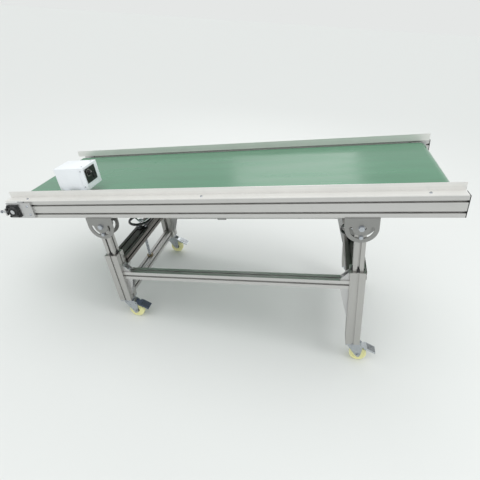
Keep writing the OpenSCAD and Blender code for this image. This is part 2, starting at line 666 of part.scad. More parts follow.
// Screws of the guards, of the take-up, pivot, idler and roller brackets, and of the controls
take_up_screws = [[rail_x0 + 14, -rail_h / 4], [rail_x0 + 14, -3 * rail_h / 4]];
module bed_screws() on_bed() color([0.82, 0.82, 0.84]) {
    both_sides() {
        for (x = guard_screw_xs) translate([x, -leg_y, guard_t]) button_screw(guard_t + bolt_grip);
        for (p = take_up_screws) translate([p[0], -outer_y - take_up_t, p[1]])
            rotate([90, 0, 0]) button_screw(take_up_t + bolt_grip);
        for (end = [-leg_x, leg_x], x = flange_screws)
            translate([end + x, -leg_y, -rail_h - pivot_t]) mirror([0, 0, 1])
                button_screw(pivot_t + bolt_grip);
        for (x = idler_screws, z = slot_zs) translate([x, -inner_y + idler_t, z])
            rotate([-90, 0, 0]) button_screw(idler_t + bolt_grip);
        for (z = slot_zs) translate([0, -inner_y + roller_plate[1], z])
            rotate([-90, 0, 0]) button_screw(roller_plate[1] + bolt_grip);
    }
    for (p = panel_screws) translate([box_x1 + panel_t, p[0], p[1]]) rotate([0, 90, 0])
        cylinder(r1 = panel_screw_r, r2 = panel_screw_r * 0.8, h = panel_screw_h);
}

cap_t = 3;
module rail_end_caps() on_bed() color([0.07, 0.07, 0.07]) both_sides() {
    for (x = [rail_x0 - cap_t, rail_x1]) translate([x, -outer_y, -rail_h]) cube([cap_t, rail_w, rail_h]);
}

slider_end = 6;      // clearance between the slider plate's ends and the drums
module slider_plate() on_bed() color([0.70, 0.71, 0.72])
    translate([drive_x + drum_d / 2 + slider_end, -inner_y, slider_z - slider_t])
        cube([idler_x - drive_x - drum_d - 2 * slider_end, 2 * inner_y, slider_t]);

cross_z = slider_z - slider_t - module_w / 2;
cross_x0 = rail_x0 + 120;
cross_x1 = rail_x1 - 180;
cross_step = (cross_x1 - cross_x0) / (cross_count - 1);
module bed_cross_members() on_bed() color([0.75, 0.75, 0.75])
    for (i = [0 : cross_count - 1]) translate([cross_x0 + i * cross_step, 0, cross_z])
        bar_y(2 * inner_y, module_w, module_w);

// Take-up brackets on the rails' outer faces, with a lug for the take-up bolt
take_up_t = 8;
boss_t = 16;         // depth of the bearing housings' bosses
take_up_x0 = drive_x - 32;
take_up_on = 34;     // how far a take-up bracket runs onto the rail
take_up_in = 4;      // take-up bracket's edges in from the rail's
take_up_len = rail_x0 + take_up_on - take_up_x0;
take_up_travel = 6;  // bearing travel each way along the belt
shaft_room = 3;      // clearance round the drive shaft in the take-up slot
lug_t = 7;
lug_y = take_up_t + boss_t;
lug_h = 32;
module take_up_bracket() {
    difference() {
        union() {
            translate([take_up_x0, -outer_y - take_up_t, -rail_h + take_up_in])
                cube([take_up_len, take_up_t, rail_h - 2 * take_up_in]);
            translate([take_up_x0 - lug_t, -outer_y - lug_y, drum_z - lug_h / 2])
                cube([lug_t, lug_y, lug_h]);
        }
        for (x = [-take_up_travel, take_up_travel]) translate([drive_x + x, 0, drum_z])
            pin_y(shaft_d / 2 + shaft_room, -outer_y - take_up_t - cut, -outer_y + cut);
        translate([drive_x - take_up_travel, -outer_y - take_up_t - cut, drum_z - shaft_d / 2 - shaft_room])
            cube([2 * take_up_travel, take_up_t + 2 * cut, shaft_d + 2 * shaft_room]);
        for (p = take_up_screws) translate([p[0], 0, p[1]])
            pin_y(screw_r + hole_play, -outer_y - take_up_t - cut, -outer_y + cut);
        translate([0, take_up_y, drum_z])
            pin_x(take_up_r + hole_play, take_up_x0 - lug_t - cut, take_up_x0 + cut);
    }
}
module take_up_brackets() on_bed() color([0.86, 0.86, 0.87]) both_sides() take_up_bracket();
take_up_r = 4;
take_up_y = -outer_y - take_up_t - 8;
take_up_out = 21;    // how far the take-up bolt stands out of its lug
take_up_flats = 13;
take_up_nut = 6;     // height of the bolt's head and of its lock nut
module take_up_bolts() on_bed() color([0.83, 0.83, 0.85])
    both_sides() translate([take_up_x0 - lug_t, take_up_y, drum_z]) {
        pin_x(take_up_r, -take_up_out - cut, housing_x0 - take_up_x0 + lug_t);
        hex_x(take_up_flats, -take_up_out - take_up_nut, -take_up_out);
        hex_x(take_up_flats, -take_up_nut, 0);
    }

// Flanged bearing housings outside the take-up brackets
housing_s = 58;
housing_t = 8;
housing_x0 = drive_x - housing_s / 2;
boss_r = 24;
module bearing_housings() on_bed() color([0.06, 0.06, 0.07]) both_sides()
    translate([drive_x, -outer_y - take_up_t, drum_z]) difference() {
        union() {
            translate([-housing_s / 2, -housing_t, -housing_s / 2]) cube([housing_s, housing_t, housing_s]);
            pin_y(boss_r, -boss_t, 0);
        }
        pin_y(shaft_d / 2 + fit, -boss_t - cut, cut);
    }

// Shaft-mounted worm gearbox and its motor on the far side
gear_y0 = outer_y + take_up_t + boss_t + 1;
gear_w = [76, 62, 112];
gear_over = 34;      // height of the gearbox's top above the drum shaft
gear_boss = [28, 4]; // radius and height of the boss round the hollow shaft
gear_nose = 0.6;     // height of the boss on the side that faces the bearing
worm_drop = 40;      // worm axis below the drum shaft
flange_r = 38;
flange_t = 9;
motor_y = gear_y0 + gear_w[1] / 2;
module gearbox() on_bed() color([0.16, 0.30, 0.55]) difference() {
    union() {
        translate([drive_x - gear_w[0] / 2, gear_y0, drum_z + gear_over - gear_w[2]]) cube(gear_w);
        translate([drive_x, 0, drum_z])
            pin_y(gear_boss[0], gear_y0 - gear_nose, gear_y0 + gear_w[1] + gear_boss[1]);
        translate([0, motor_y, drum_z - worm_drop])
            pin_x(flange_r, drive_x + gear_w[0] / 2 - cut, motor_x0);
    }
    translate([drive_x, 0, drum_z])
        pin_y(shaft_d / 2 + fit, gear_y0 - gear_nose - cut, gear_y0 + gear_w[1] + gear_boss[1] + cut);
}
motor_x0 = drive_x + gear_w[0] / 2 + flange_t;
motor_len = 150;
motor_r = 34;
fan_cover = [36.5, 34];     // radius and length of the fan cover
terminal_box = [56, 48, 30];
terminal_x = 36;
terminal_top = 18;   // terminal box's top below the motor's axis
module motor() on_bed() color([0.20, 0.33, 0.56]) translate([motor_x0, motor_y, drum_z - worm_drop]) {
    pin_x(flange_r, 0, flange_t);
    pin_x(motor_r, 0, motor_len);
    pin_x(fan_cover[0], motor_len - fan_cover[1], motor_len);
    translate([terminal_x, -terminal_box[1] / 2, -terminal_top - terminal_box[2]]) cube(terminal_box);
}

// Idler brackets inside the rails at the raised end
idler_t = 5;
idler_plate = [64, 62];
idler_screws = [idler_x - 22, idler_x + 22];
slot_zs = [-rail_h / 4, -3 * rail_h / 4];
module idler_brackets() on_bed() color([0.80, 0.80, 0.80]) both_sides() difference() {
    translate([idler_x - idler_plate[0] / 2, -inner_y, drum_z - idler_plate[1] / 2])
        cube([idler_plate[0], idler_t, idler_plate[1]]);
    translate([idler_x, 0, drum_z]) pin_y(journal_d / 2 + fit, -inner_y - cut, -inner_y + idler_t + cut);
    for (x = idler_screws, z = slot_zs) translate([x, 0, z])
        pin_y(screw_r + hole_play, -inner_y - cut, -inner_y + idler_t + cut);
}

// Endless belt around both drums
belt_len = idler_x - drive_x;
module belt_loop_2d(r) {
    circle(r = r, $fn = 96);
    translate([belt_len, 0]) circle(r = r, $fn = 96);
    translate([0, -r]) square([belt_len, 2 * r]);
}
module belt() on_bed() color([0.30, 0.56, 0.42])
    translate([drive_x, belt_w / 2, drum_z]) rotate([90, 0, 0]) linear_extrude(belt_w)
        difference() {
            belt_loop_2d(belt_out_r);
            belt_loop_2d(belt_in_r);
        }

// Return roller under the belt's lower run, and its hanging brackets
return_z = drum_z - belt_out_r - drum_gap - return_d / 2;
roller_plate = [36, 4];     // width and thickness
roller_under = 16;   // plate below the roller's axis
roller_over = 8;     // plate above the rail's upper slot
module roller_brackets() on_bed() color([0.78, 0.78, 0.79]) both_sides() difference() {
    translate([-roller_plate[0] / 2, -inner_y, return_z - roller_under])
        cube([roller_plate[0], roller_plate[1], slot_zs[0] + roller_over - return_z + roller_under]);
    translate([0, 0, return_z]) pin_y(journal_d / 2 + fit, -inner_y - cut, -inner_y + roller_plate[1] + cut);
    for (z = slot_zs) translate([0, 0, z])
        pin_y(screw_r + hole_play, -inner_y - cut, -inner_y + roller_plate[1] + cut);
}
journal_end = inner_y - gap;
module return_roller() on_bed() color([0.80, 0.81, 0.82]) translate([0, 0, return_z]) {
    pin_y(return_d / 2, -belt_w / 2, belt_w / 2);
    pin_y(journal_d / 2, -journal_end, journal_end);
}
module drive_drum() on_bed() color([0.70, 0.71, 0.73]) translate([drive_x, 0, drum_z]) {
    pin_y(drum_d / 2, -drum_half, drum_half);
    pin_y(shaft_d / 2, -outer_y - take_up_t - boss_t + 1, gear_y0 + gear_w[1] + gear_boss[1] + 3);
}
module idler_drum() on_bed() color([0.70, 0.71, 0.73]) translate([idler_x, 0, drum_z]) {
    pin_y(drum_d / 2, -drum_half, drum_half);
    pin_y(journal_d / 2, -journal_end, journal_end);
}

// ---- controls ------------------------------------------------------------------------

box_x0 = guard_x0 + box_in;
box_x1 = box_x0 + box_l;
box_y0 = -inner_y + guard_t + 12;
panel_w = 74;
panel_h = 60;
panel_t = 3;
panel_y = box_y0 + 8 + panel_w / 2;
panel_z = box_lift + box_h - 10 - panel_h / 2;
panel_lip = 4;       // overlap of the panel on the box around its opening
panel_screw_r = 2;
panel_screw_h = 1;
panel_screws = [for (y = [-1, 1], z = [-1, 1])
    [panel_y + y * (panel_w / 2 - panel_lip / 2), panel_z + z * (panel_h / 2 - panel_lip / 2)]];
strap = [30, 2, 60]; // width, thickness and length under the box of a mounting strap
strap_in = 14;       // straps' distance in from the box's ends
strap_down = 26;     // how far a strap reaches down the guard from its top edge
gland_z = box_lift + 24;
gland_y = box_y0 + box_w / 2;
module control_box() on_bed() color([0.93, 0.94, 0.96]) {
    difference() {
        translate([box_x0, box_y0, box_lift]) cube([box_l, box_w, box_h]);
        translate([box_x0 + box_t, box_y0 + box_t, box_lift + box_t])
            cube([box_l - 2 * box_t, box_w - 2 * box_t, box_h - 2 * box_t]);
        translate([box_x1 - box_t - cut, panel_y - panel_w / 2 + panel_lip,
                   panel_z - panel_h / 2 + panel_lip])
            cube([box_t + 2 * cut, panel_w - 2 * panel_lip, panel_h - 2 * panel_lip]);
        translate([0, gland_y, gland_z]) pin_x(gland_r + hole_play, box_x0 - cut, box_x0 + box_t + cut);
    }
    // Two straps from the guard's inner face to the box's underside
    for (x = [box_x0 + strap_in, box_x1 - strap_in - strap[0]]) {
        translate([x, -inner_y + guard_t, guard_h - strap_down])
            cube([strap[0], strap[1], box_lift - guard_h + strap_down]);
        translate([x, -inner_y + guard_t, box_lift - strap[1]]) cube([strap[0], strap[2], strap[1]]);
    }
}
knob_at = [panel_y - 14, panel_z + 10];
switch_at = [panel_y + 17, panel_z - 8];
switch_w = [13, 19];
switch_room = 1;     // clearance above and below the rocker
knob_shaft_r = 3;
knob_in = 6;         // length of the knob's shaft behind the panel
knob_r = 11;
knob_h = 13;
module control_panel() on_bed() color([0.12, 0.12, 0.11]) difference() {
    translate([box_x1, panel_y - panel_w / 2, panel_z - panel_h / 2]) cube([panel_t, panel_w, panel_h]);
    translate([0, knob_at[0], knob_at[1]])
        pin_x(knob_shaft_r + fit, box_x1 - cut, box_x1 + panel_t + cut);
    translate([box_x1 - cut, switch_at[0] - switch_w[0] / 2 - gap,
               switch_at[1] - switch_w[1] / 2 - switch_room])
        cube([panel_t + 2 * cut, switch_w[0] + 2 * gap, switch_w[1] + 2 * switch_room]);
}
module speed_knob() on_bed() color([0.20, 0.20, 0.20]) translate([box_x1 + panel_t, knob_at[0], knob_at[1]]) {
    pin_x(knob_shaft_r, -panel_t - knob_in, gap + cut);
    translate([gap, 0, 0]) rotate([0, 90, 0]) cylinder(r1 = knob_r, r2 = knob_r - 1.5, h = knob_h);
    translate([gap + knob_h - cut, -1, 2]) cube([cut + 0.6, 2, 7]);
}
module power_switch() on_bed() color([0.10, 0.10, 0.10])
    translate([box_x1 + panel_t, switch_at[0] + switch_w[0] / 2, switch_at[1]])
        rotate([90, 0, 0]) linear_extrude(switch_w[0])
            polygon([[-3, -7], [-1, -9], [3.2, -9], [1.6, 0], [0.8, 9], [-1, 9], [-3, 7]]);
// Cable gland: threaded body through the box's wall, hexagon, and clamping cap
gland_r = 6;
gland_bore = 3.5;
gland_hex = [17, 8]; // across flats and length
gland_cap = [7, 10]; // radius and length
gland_in = 6;
module cable_gland() on_bed() color([0.10, 0.10, 0.10]) translate([box_x0, gland_y, gland_z])
    difference() {
        union() {
            pin_x(gland_r, -cut, box_t + gland_in);
            hex_x(gland_hex[0], -gland_hex[1], 0);
            pin_x(gland_cap[0], -gland_hex[1] - gland_cap[1], -gland_hex[1] + cut);
        }
        pin_x(gland_bore, -gland_hex[1] - gland_cap[1] - cut, box_t + gland_in + cut);
    }

left_lower_legs();
right_lower_legs();
side_beams();
left_fixed_crossbar();
right_fixed_crossbar();
corner_brackets();
frame_bolts();
slide_guides();
screw_bearings();
caster_plates();
left_upper_legs();
left_lift_crossbar();
left_screw_nut();
left_clamp_bolts();
right_upper_legs();
right_lift_crossbar();
right_screw_nut();
right_pivot_and_clamp_bolts();
left_handwheel();
left_lead_screw();
right_handwheel();
right_lead_screw();
left_pivot_bolts();
near_rail();
far_rail();
near_guard();
far_guard();
bed_screws();
rail_end_caps();
slider_plate();
bed_cross_members();
pivot_brackets();
take_up_brackets();
take_up_bolts();
bearing_housings();
idler_brackets();
belt();
roller_brackets();
gearbox();
motor();
control_box();
control_panel();
cable_gland();
drive_drum();
idler_drum();
return_roller();
speed_knob();
power_switch();
near_left_caster_fork();
near_left_caster_wheel();
near_left_brake_pedal();
far_left_caster_fork();
far_left_caster_wheel();
far_left_brake_pedal();
near_right_caster_fork();
near_right_caster_wheel();
near_right_brake_pedal();
far_right_caster_fork();
far_right_caster_wheel();
far_right_brake_pedal();
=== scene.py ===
"""Looks of a belt conveyor section on a castered, screw-lifted stand.

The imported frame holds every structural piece. This script dresses those pieces, and builds the
turned, cast and moulded ones in finer form: handwheels, threaded spindles, caster wheels,
bearing housings, gear motor and control box. Lengths in the classes are millimetres in the bed
frame: x along the belt, y across it, z square to it, zero on top of the side rails.
"""

import json
import logging
import math
from dataclasses import dataclass, field
from enum import Enum
from typing import Any, Callable, Iterable, Sequence

import bmesh
import bpy
from mathutils import Matrix, Vector

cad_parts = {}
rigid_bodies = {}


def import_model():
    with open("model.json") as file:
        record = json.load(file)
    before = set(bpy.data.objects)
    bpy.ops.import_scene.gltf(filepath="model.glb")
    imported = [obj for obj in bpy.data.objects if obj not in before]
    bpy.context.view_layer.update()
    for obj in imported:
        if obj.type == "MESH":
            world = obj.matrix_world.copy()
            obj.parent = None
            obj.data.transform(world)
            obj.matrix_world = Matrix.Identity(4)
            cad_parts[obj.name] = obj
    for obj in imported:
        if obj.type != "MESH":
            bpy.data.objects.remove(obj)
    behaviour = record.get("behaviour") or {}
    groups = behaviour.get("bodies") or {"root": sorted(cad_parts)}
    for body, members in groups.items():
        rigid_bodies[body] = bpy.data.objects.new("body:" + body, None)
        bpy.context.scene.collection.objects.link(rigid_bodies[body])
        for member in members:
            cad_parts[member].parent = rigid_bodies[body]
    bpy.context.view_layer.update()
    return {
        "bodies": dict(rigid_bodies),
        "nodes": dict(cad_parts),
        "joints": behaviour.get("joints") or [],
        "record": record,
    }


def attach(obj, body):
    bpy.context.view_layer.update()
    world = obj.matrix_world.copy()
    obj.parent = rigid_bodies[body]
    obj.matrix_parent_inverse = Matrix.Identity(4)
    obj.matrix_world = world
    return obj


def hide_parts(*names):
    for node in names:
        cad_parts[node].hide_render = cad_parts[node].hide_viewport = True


LOG = logging.getLogger("conveyor")
MM = 0.001


def linear(hex_colour: str) -> tuple[float, float, float, float]:
    """Turns an sRGB hex colour to linear.

    Args:
        hex_colour: six hexadecimal digits, with or without a leading #.

    Returns:
        Linear red, green, blue and an alpha of one.
    """
    digits = hex_colour.lstrip("#")
    parts = [int(digits[i : i + 2], 16) / 255 for i in (0, 2, 4)]
    r, g, b = [c / 12.92 if c <= 0.04045 else ((c + 0.055) / 1.055) ** 2.4 for c in parts]
    return r, g, b, 1.0


def put(tree: bpy.types.NodeTree, kind: str, inputs: dict[Any, Any] | None = None,
        **settings: Any) -> bpy.types.Node:
    """Adds one node.

    Args:
        tree: the node tree.
        kind: the node's type name.
        inputs: values or sockets, by input name or index.
        settings: attributes of the node.

    Returns:
        The new node.
    """
    node = tree.nodes.new(kind)
    for name, value in settings.items():
        setattr(node, name, value)
    for key, value in (inputs or {}).items():
        if isinstance(value, bpy.types.NodeSocket):
            tree.links.new(value, node.inputs[key])
        else:
            node.inputs[key].default_value = value
    return node


# ---- the bed's place in the row frame -------------------------------------------------------


@dataclass(frozen=True)
class Bed:
    """Where the leaned bed frame stands, read from the two spindle joints."""

    matrix: Matrix
    incline: float

    @classmethod
    def from_joints(cls, joints: Sequence[dict[str, Any]]) -> "Bed":
        """Works out the bed frame.

        Args:
            joints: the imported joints.

        Returns:
            The bed, with a matrix from millimetres on the bed to metres in the row frame.
        """
        by_name = {j["name"]: j for j in joints}
        low = Vector(by_name["left_wheel_spin"]["pos_m"])
        high = Vector(by_name["right_wheel_spin"]["pos_m"])
        along = (high - low).normalized()
        up = Vector(by_name["left_wheel_spin"]["axis"]).normalized()
        across = up.cross(along)
        turn = Matrix((along, across, up)).transposed().to_4x4()
        matrix = Matrix.Translation((low + high) / 2) @ turn @ Matrix.Scale(MM, 4)
        return cls(matrix, math.atan2(along.z, along.x))

    def at(self, x: float, y: float, z: float) -> Matrix:
        """Returns the matrix of a place on the bed, axes along the bed's."""
        return self.matrix @ Matrix.Translation((x, y, z))


class Along(Enum):
    """The way an extrusion, a sheet's rolling or a brush ran, as pattern scales per millimetre."""

    LENGTH = (0.004, 1.0, 1.0)
    ACROSS = (1.0, 0.004, 1.0)
    HEIGHT = (1.0, 1.0, 0.004)


# ---- finishes -------------------------------------------------------------------------------


@dataclass(frozen=True)
class Finish:
    """A surface: its colour, gloss and what its making left on it."""

    name: str
    colour: str
    roughness: float
    metallic: float = 0.0
    slot: str = ""

    def shader(self, bed: Bed) -> bpy.types.Material:
        """Makes the material once, and returns it."""
        made = bpy.data.materials.get(self.name)
        if made:
            return made
        made = bpy.data.materials.new(self.name)
        made.use_nodes = True
        tree = made.node_tree
        tree.nodes.clear()
        out = put(tree, "ShaderNodeOutputMaterial")
        skin = put(tree, "ShaderNodeBsdfPrincipled", {"Roughness": self.roughness,
                                                      "Metallic": self.metallic})
        tree.links.new(skin.outputs[0], out.inputs["Surface"])
        where = put(tree, "ShaderNodeTexCoord").outputs["Object"]
        # The bed's own axes, in millimetres
        level = put(tree, "ShaderNodeMapping", {"Vector": where, "Rotation": (0, bed.incline, 0)})
        level.inputs["Scale"].default_value = (1 / MM,) * 3
        self.detail(tree, skin, level.outputs[0])
        made.diffuse_color = linear(self.colour)
        return made

    def detail(self, tree: bpy.types.NodeTree, skin: bpy.types.Node, place: bpy.types.NodeSocket) -> None:
        """Draws the finish.

        Args:
            tree: the material's nodes.
            skin: its principled shader.
            place: object coordinates in millimetres on the bed's axes.
        """
        raise NotImplementedError

    def tint(self, tree: bpy.types.NodeTree, skin: bpy.types.Node, factor: bpy.types.NodeSocket,
             dark: float) -> None:
        """Mixes the colour towards a darker one.

        Args:
            tree: the material's nodes.
            skin: its principled shader.
            factor: how far, from 0 to 1.
            dark: what the darker colour is, as a share of the full one.
        """
        full = linear(self.colour)
        shade = tuple(c * dark for c in full[:3]) + (1.0,)
        mix = put(tree, "ShaderNodeMix", {0: factor}, data_type="RGBA")
        mix.inputs[6].default_value = shade
        mix.inputs[7].default_value = full
        tree.links.new(mix.outputs[2], skin.inputs["Base Color"])

    def vary(self, tree: bpy.types.NodeTree, skin: bpy.types.Node, factor: bpy.types.NodeSocket,
             spread: float) -> None:
        """Lets the roughness wander by spread each way, following factor."""
        span = put(tree, "ShaderNodeMapRange", {"Value": factor})
        span.inputs["From Min"].default_value = 0.3
        span.inputs["From Max"].default_value = 0.7
        span.inputs["To Min"].default_value = max(0.03, self.roughness - spread)
        span.inputs["To Max"].default_value = min(1.0, self.roughness + spread)
        tree.links.new(span.outputs[0], skin.inputs["Roughness"])

    def bump(self, tree: bpy.types.NodeTree, skin: bpy.types.Node, height: bpy.types.NodeSocket,
             strength: float, depth_mm: float) -> None:
        """Raises the surface by height, at most depth_mm."""
        node = put(tree, "ShaderNodeBump", {"Height": height, "Strength": strength,
                                            "Distance": depth_mm * MM})
        tree.links.new(node.outputs[0], skin.inputs["Normal"])


@dataclass(frozen=True)
class DrawnMetal(Finish):
    """Extruded, rolled or brushed metal: fine lines one way, and a soft cloud from handling."""

    along: Along = Along.LENGTH
    line_mm: float = 6.5
    contrast: float = 0.8

    def detail(self, tree: bpy.types.NodeTree, skin: bpy.types.Node, place: bpy.types.NodeSocket) -> None:
        """Die lines about 0.3 mm apart, drawn some 6 mm apart so that they show."""
        scale = tuple(s / self.line_mm for s in self.along.value)
        drawn = put(tree, "ShaderNodeMapping", {"Vector": place, "Scale": scale})
        lines = put(tree, "ShaderNodeTexNoise", {"Vector": drawn.outputs[0], "Scale": 1.0, "Detail": 1.0})
        cloud = put(tree, "ShaderNodeTexNoise", {"Vector": place, "Scale": 1 / 90, "Detail": 3.0})
        both = put(tree, "ShaderNodeMath", {0: lines.outputs["Fac"], 1: cloud.outputs["Fac"]},
                   operation="ADD")
        half = put(tree, "ShaderNodeMath", {0: both.outputs[0], 1: 0.5}, operation="MULTIPLY")
        self.tint(tree, skin, half.outputs[0], self.contrast)
        self.vary(tree, skin, half.outputs[0], 0.05)
        self.bump(tree, skin, lines.outputs["Fac"], 0.05, 0.05)


@dataclass(frozen=True)
class PlatedSteel(Finish):
    """Zinc plate or galvanising: crystals that catch the light one by one."""

    grain_mm: float = 1.5
    contrast: float = 0.82

    def detail(self, tree: bpy.types.NodeTree, skin: bpy.types.Node, place: bpy.types.NodeSocket) -> None:
        """Crystals from 1 mm on plated screws to 6 mm on hot-dipped sheet."""
        cells = put(tree, "ShaderNodeTexVoronoi", {"Vector": place, "Scale": 1 / self.grain_mm})
        fog = put(tree, "ShaderNodeTexNoise", {"Vector": place, "Scale": 1 / 14, "Detail": 4.0})
        split = put(tree, "ShaderNodeSeparateColor", {"Color": cells.outputs["Color"]})
        both = put(tree, "ShaderNodeMix", {0: 0.5, 2: split.outputs[0], 3: fog.outputs["Fac"]})
        self.tint(tree, skin, both.outputs[0], self.contrast)
        self.vary(tree, skin, fog.outputs["Fac"], 0.08)
        self.bump(tree, skin, cells.outputs["Distance"], 0.2, 0.04)


@dataclass(frozen=True)
class Coated(Finish):
    """Paint, powder coat, casting skin or moulded plastic: an even colour on a fine uneven skin."""

    peel_mm: float = 1.6
    peel_depth: float = 0.05
    contrast: float = 0.9
    coat: float = 0.0

    def detail(self, tree: bpy.types.NodeTree, skin: bpy.types.Node, place: bpy.types.NodeSocket) -> None:
        """Orange peel or mould texture at its real pitch, and a faint wide shade."""
        peel = put(tree, "ShaderNodeTexNoise", {"Vector": place, "Scale": 1 / self.peel_mm, "Detail": 2.0})
        wide = put(tree, "ShaderNodeTexNoise", {"Vector": place, "Scale": 1 / 45, "Detail": 3.0})
        self.tint(tree, skin, wide.outputs["Fac"], self.contrast)
        self.vary(tree, skin, wide.outputs["Fac"], 0.05)
        self.bump(tree, skin, peel.outputs["Fac"], 0.35, self.peel_depth)
        skin.inputs["Coat Weight"].default_value = self.coat
        skin.inputs["Coat Roughness"].default_value = 0.15


@dataclass(frozen=True)
class Polyurethane(Finish):
    """Cast polyurethane tread: milky, with light passing a little way in."""

    def detail(self, tree: bpy.types.NodeTree, skin: bpy.types.Node, place: bpy.types.NodeSocket) -> None:
        """Clouding some 10 mm across, and rolling scuffs."""
        milk = put(tree, "ShaderNodeTexNoise", {"Vector": place, "Scale": 1 / 10, "Detail": 3.0})
        scuff = put(tree, "ShaderNodeTexNoise", {"Vector": place, "Scale": 1 / 2.0, "Detail": 5.0})
        self.tint(tree, skin, milk.outputs["Fac"], 0.8)
        self.vary(tree, skin, scuff.outputs["Fac"], 0.1)
        self.bump(tree, skin, scuff.outputs["Fac"], 0.2, 0.05)
        skin.inputs["Subsurface Weight"].default_value = 0.15
        skin.inputs["Subsurface Radius"].default_value = (0.006, 0.004, 0.001)


@dataclass(frozen=True)
class BeltCover(Finish):
    """Smooth PVC belt cover: glossy, with the carcass's weave pressed faintly through it."""

    def detail(self, tree: bpy.types.NodeTree, skin: bpy.types.Node, place: bpy.types.NodeSocket) -> None:
        """Weave of 1 mm threads drawn at 3 mm, wipe marks along the run, and painted shade on the faces that
        look down.
        """
        warp = put(tree, "ShaderNodeTexWave", {"Vector": place, "Scale": 1 / 19, "Distortion": 0.0},
                   bands_direction="X")
        weft = put(tree, "ShaderNodeTexWave", {"Vector": place, "Scale": 1 / 19, "Distortion": 0.0},
                   bands_direction="Y")
        weave = put(tree, "ShaderNodeMath", {0: warp.outputs["Fac"], 1: weft.outputs["Fac"]},
                    operation="MULTIPLY")
        run = put(tree, "ShaderNodeMapping", {"Vector": place, "Scale": (1 / 400, 1 / 60, 1 / 60)})
        wipe = put(tree, "ShaderNodeTexNoise", {"Vector": run.outputs[0], "Scale": 1.0, "Detail": 4.0})
        # Painted shade: faces that look down, on the strand running back below, are darkened by how far their
        # normal turns down
        facing = put(tree, "ShaderNodeSeparateXYZ", {0: put(tree,
                                                            "ShaderNodeNewGeometry").outputs["Normal"]})
        painted_underside_shade = put(tree, "ShaderNodeMapRange", {"Value": facing.outputs["Z"], "From Min": -0.6,
                                                 "From Max": 0.2,
                                                 "To Min": 0.05, "To Max": 1.0})
        # The wipe marks times the painted shade of the downward faces
        wipe_and_painted_shade = put(tree, "ShaderNodeMath", {0: wipe.outputs["Fac"], 1: painted_underside_shade.outputs[0]},
                   operation="MULTIPLY")
        self.tint(tree, skin, wipe_and_painted_shade.outputs[0], 0.66)
        self.vary(tree, skin, wipe.outputs["Fac"], 0.07)
        self.bump(tree, skin, weave.outputs[0], 0.12, 0.04)
        skin.inputs["Specular IOR Level"].default_value = 0.6


ANODISED_LENGTH = DrawnMetal("satin_anodised_rail", "#d3d2d0", 0.32, 0.9, "anodised_aluminium")
ANODISED_ACROSS = DrawnMetal("satin_anodised_crossbar", "#c6c5c3", 0.38, 0.9, "anodised_aluminium",
                             Along.ACROSS)
ANODISED_HEIGHT = DrawnMetal("satin_anodised_leg", "#c2c1be", 0.38, 0.9, "anodised_aluminium", Along.HEIGHT)
# Painted shade: the fixed crossbars under the bed get a darker copy of the anodised finish, standing for the
# bed's shade on them
PAINTED_SHADE_CROSSBAR = DrawnMetal("satin_anodised_dark", "#77736f", 0.42, 0.9, "dark_crossbar", Along.ACROSS)
BRIGHT_SHEET = DrawnMetal("bright_aluminium_sheet", "#f3f2ef", 0.34, 0.5, "bright_aluminium")
CAST_ALLOY = Coated("tumbled_alloy_casting", "#c9c9c9", 0.36, 0.9, "bright_aluminium", 1.2, 0.06)
TURNED_ALLOY = DrawnMetal("turned_aluminium", "#cfd0d2", 0.28, 0.95, "bright_aluminium", Along.ACROSS)
PRESSED_STEEL = DrawnMetal("satin_steel_plate", "#9a9a98", 0.42, 0.85, "bracket_steel", Along.LENGTH,
                           3.0, 0.9)
ZINC = PlatedSteel("bright_zinc_plate", "#bfc3c9", 0.26, 1.0, "zinc_steel")
GALVANISED = PlatedSteel("galvanised_pressing", "#c3c8cd", 0.34, 0.95, "galvanised_fork", 5.0, 0.74)
CHROME = PlatedSteel("polished_chrome", "#e6e8ea", 0.08, 1.0, "zinc_steel", 6.0, 0.97)
BRONZE = DrawnMetal("machined_bronze", "#8f836b", 0.36, 1.0, "nut_bronze", Along.HEIGHT)
BLACK_NYLON = Coated("black_nylon", "#161616", 0.5, 0.0, "black_plastic", 0.9, 0.05)
PHENOLIC = Coated("black_phenolic", "#101011", 0.22, 0.0, "black_plastic", 6.0, 0.02, 0.8, 0.4)
CAST_IRON = Coated("black_painted_casting", "#151617", 0.38, 0.0, "black_cast_iron", 1.3, 0.12, 0.8, 0.2)
PEDAL_PAINT = Coated("blue_grey_enamel", "#4a5566", 0.4, 0.1, "blue_grey_pedal")
PEDAL_STEEL = PlatedSteel("galvanised_pedal", "#c9ced2", 0.34, 0.95, "blue_grey_pedal", 4.0, 0.8)
DARK_STEEL = Coated("blackened_steel", "#3a3c3e", 0.3, 0.8, "black_cast_iron", 2.0, 0.03, 0.8)
BLUE_ENAMEL = Coated("blue_machine_enamel", "#2a5088", 0.34, 0.0, "blue_paint", 2.2, 0.08, 0.86, 0.3)
POWDER_WHITE = Coated("white_powder_coat", "#eef2f6", 0.42, 0.0, "white_paint", 1.1, 0.04, 0.97)
PANEL_BLACK = Coated("black_control_plate", "#1c1b1a", 0.35, 0.0, "panel_black", 0.8, 0.03)
TREAD = Polyurethane("yellow_polyurethane", "#dcd67c", 0.4, 0.0, "yellow_polyurethane")
BELT_PVC = BeltCover("green_pvc_belt", "#508c6b", 0.22, 0.0, "green_belt")
MARK_WHITE = Coated("printed_white", "#e9e9e6", 0.5, 0.0, "panel_black", 0.8, 0.01)
STUDIO_FLOOR = Coated("studio_paper", "#dfe1e0", 0.9, 0.0, "", 3.0, 0.02, 0.995)


# ---- mesh building --------------------------------------------------------------------------


def in_order(parts: Any, spot: Callable[[Any], Vector]) -> None:
    """Puts a mesh's vertices or faces in order of place.

    Args:
        parts: the vertices or the faces.
        spot: gives the place of one of them.
    """
    placed = sorted(parts, key=lambda part: tuple(round(c, 3) for c in spot(part)))
    rank = {part: k for k, part in enumerate(placed)}
    parts.sort(key=lambda part: rank[part])


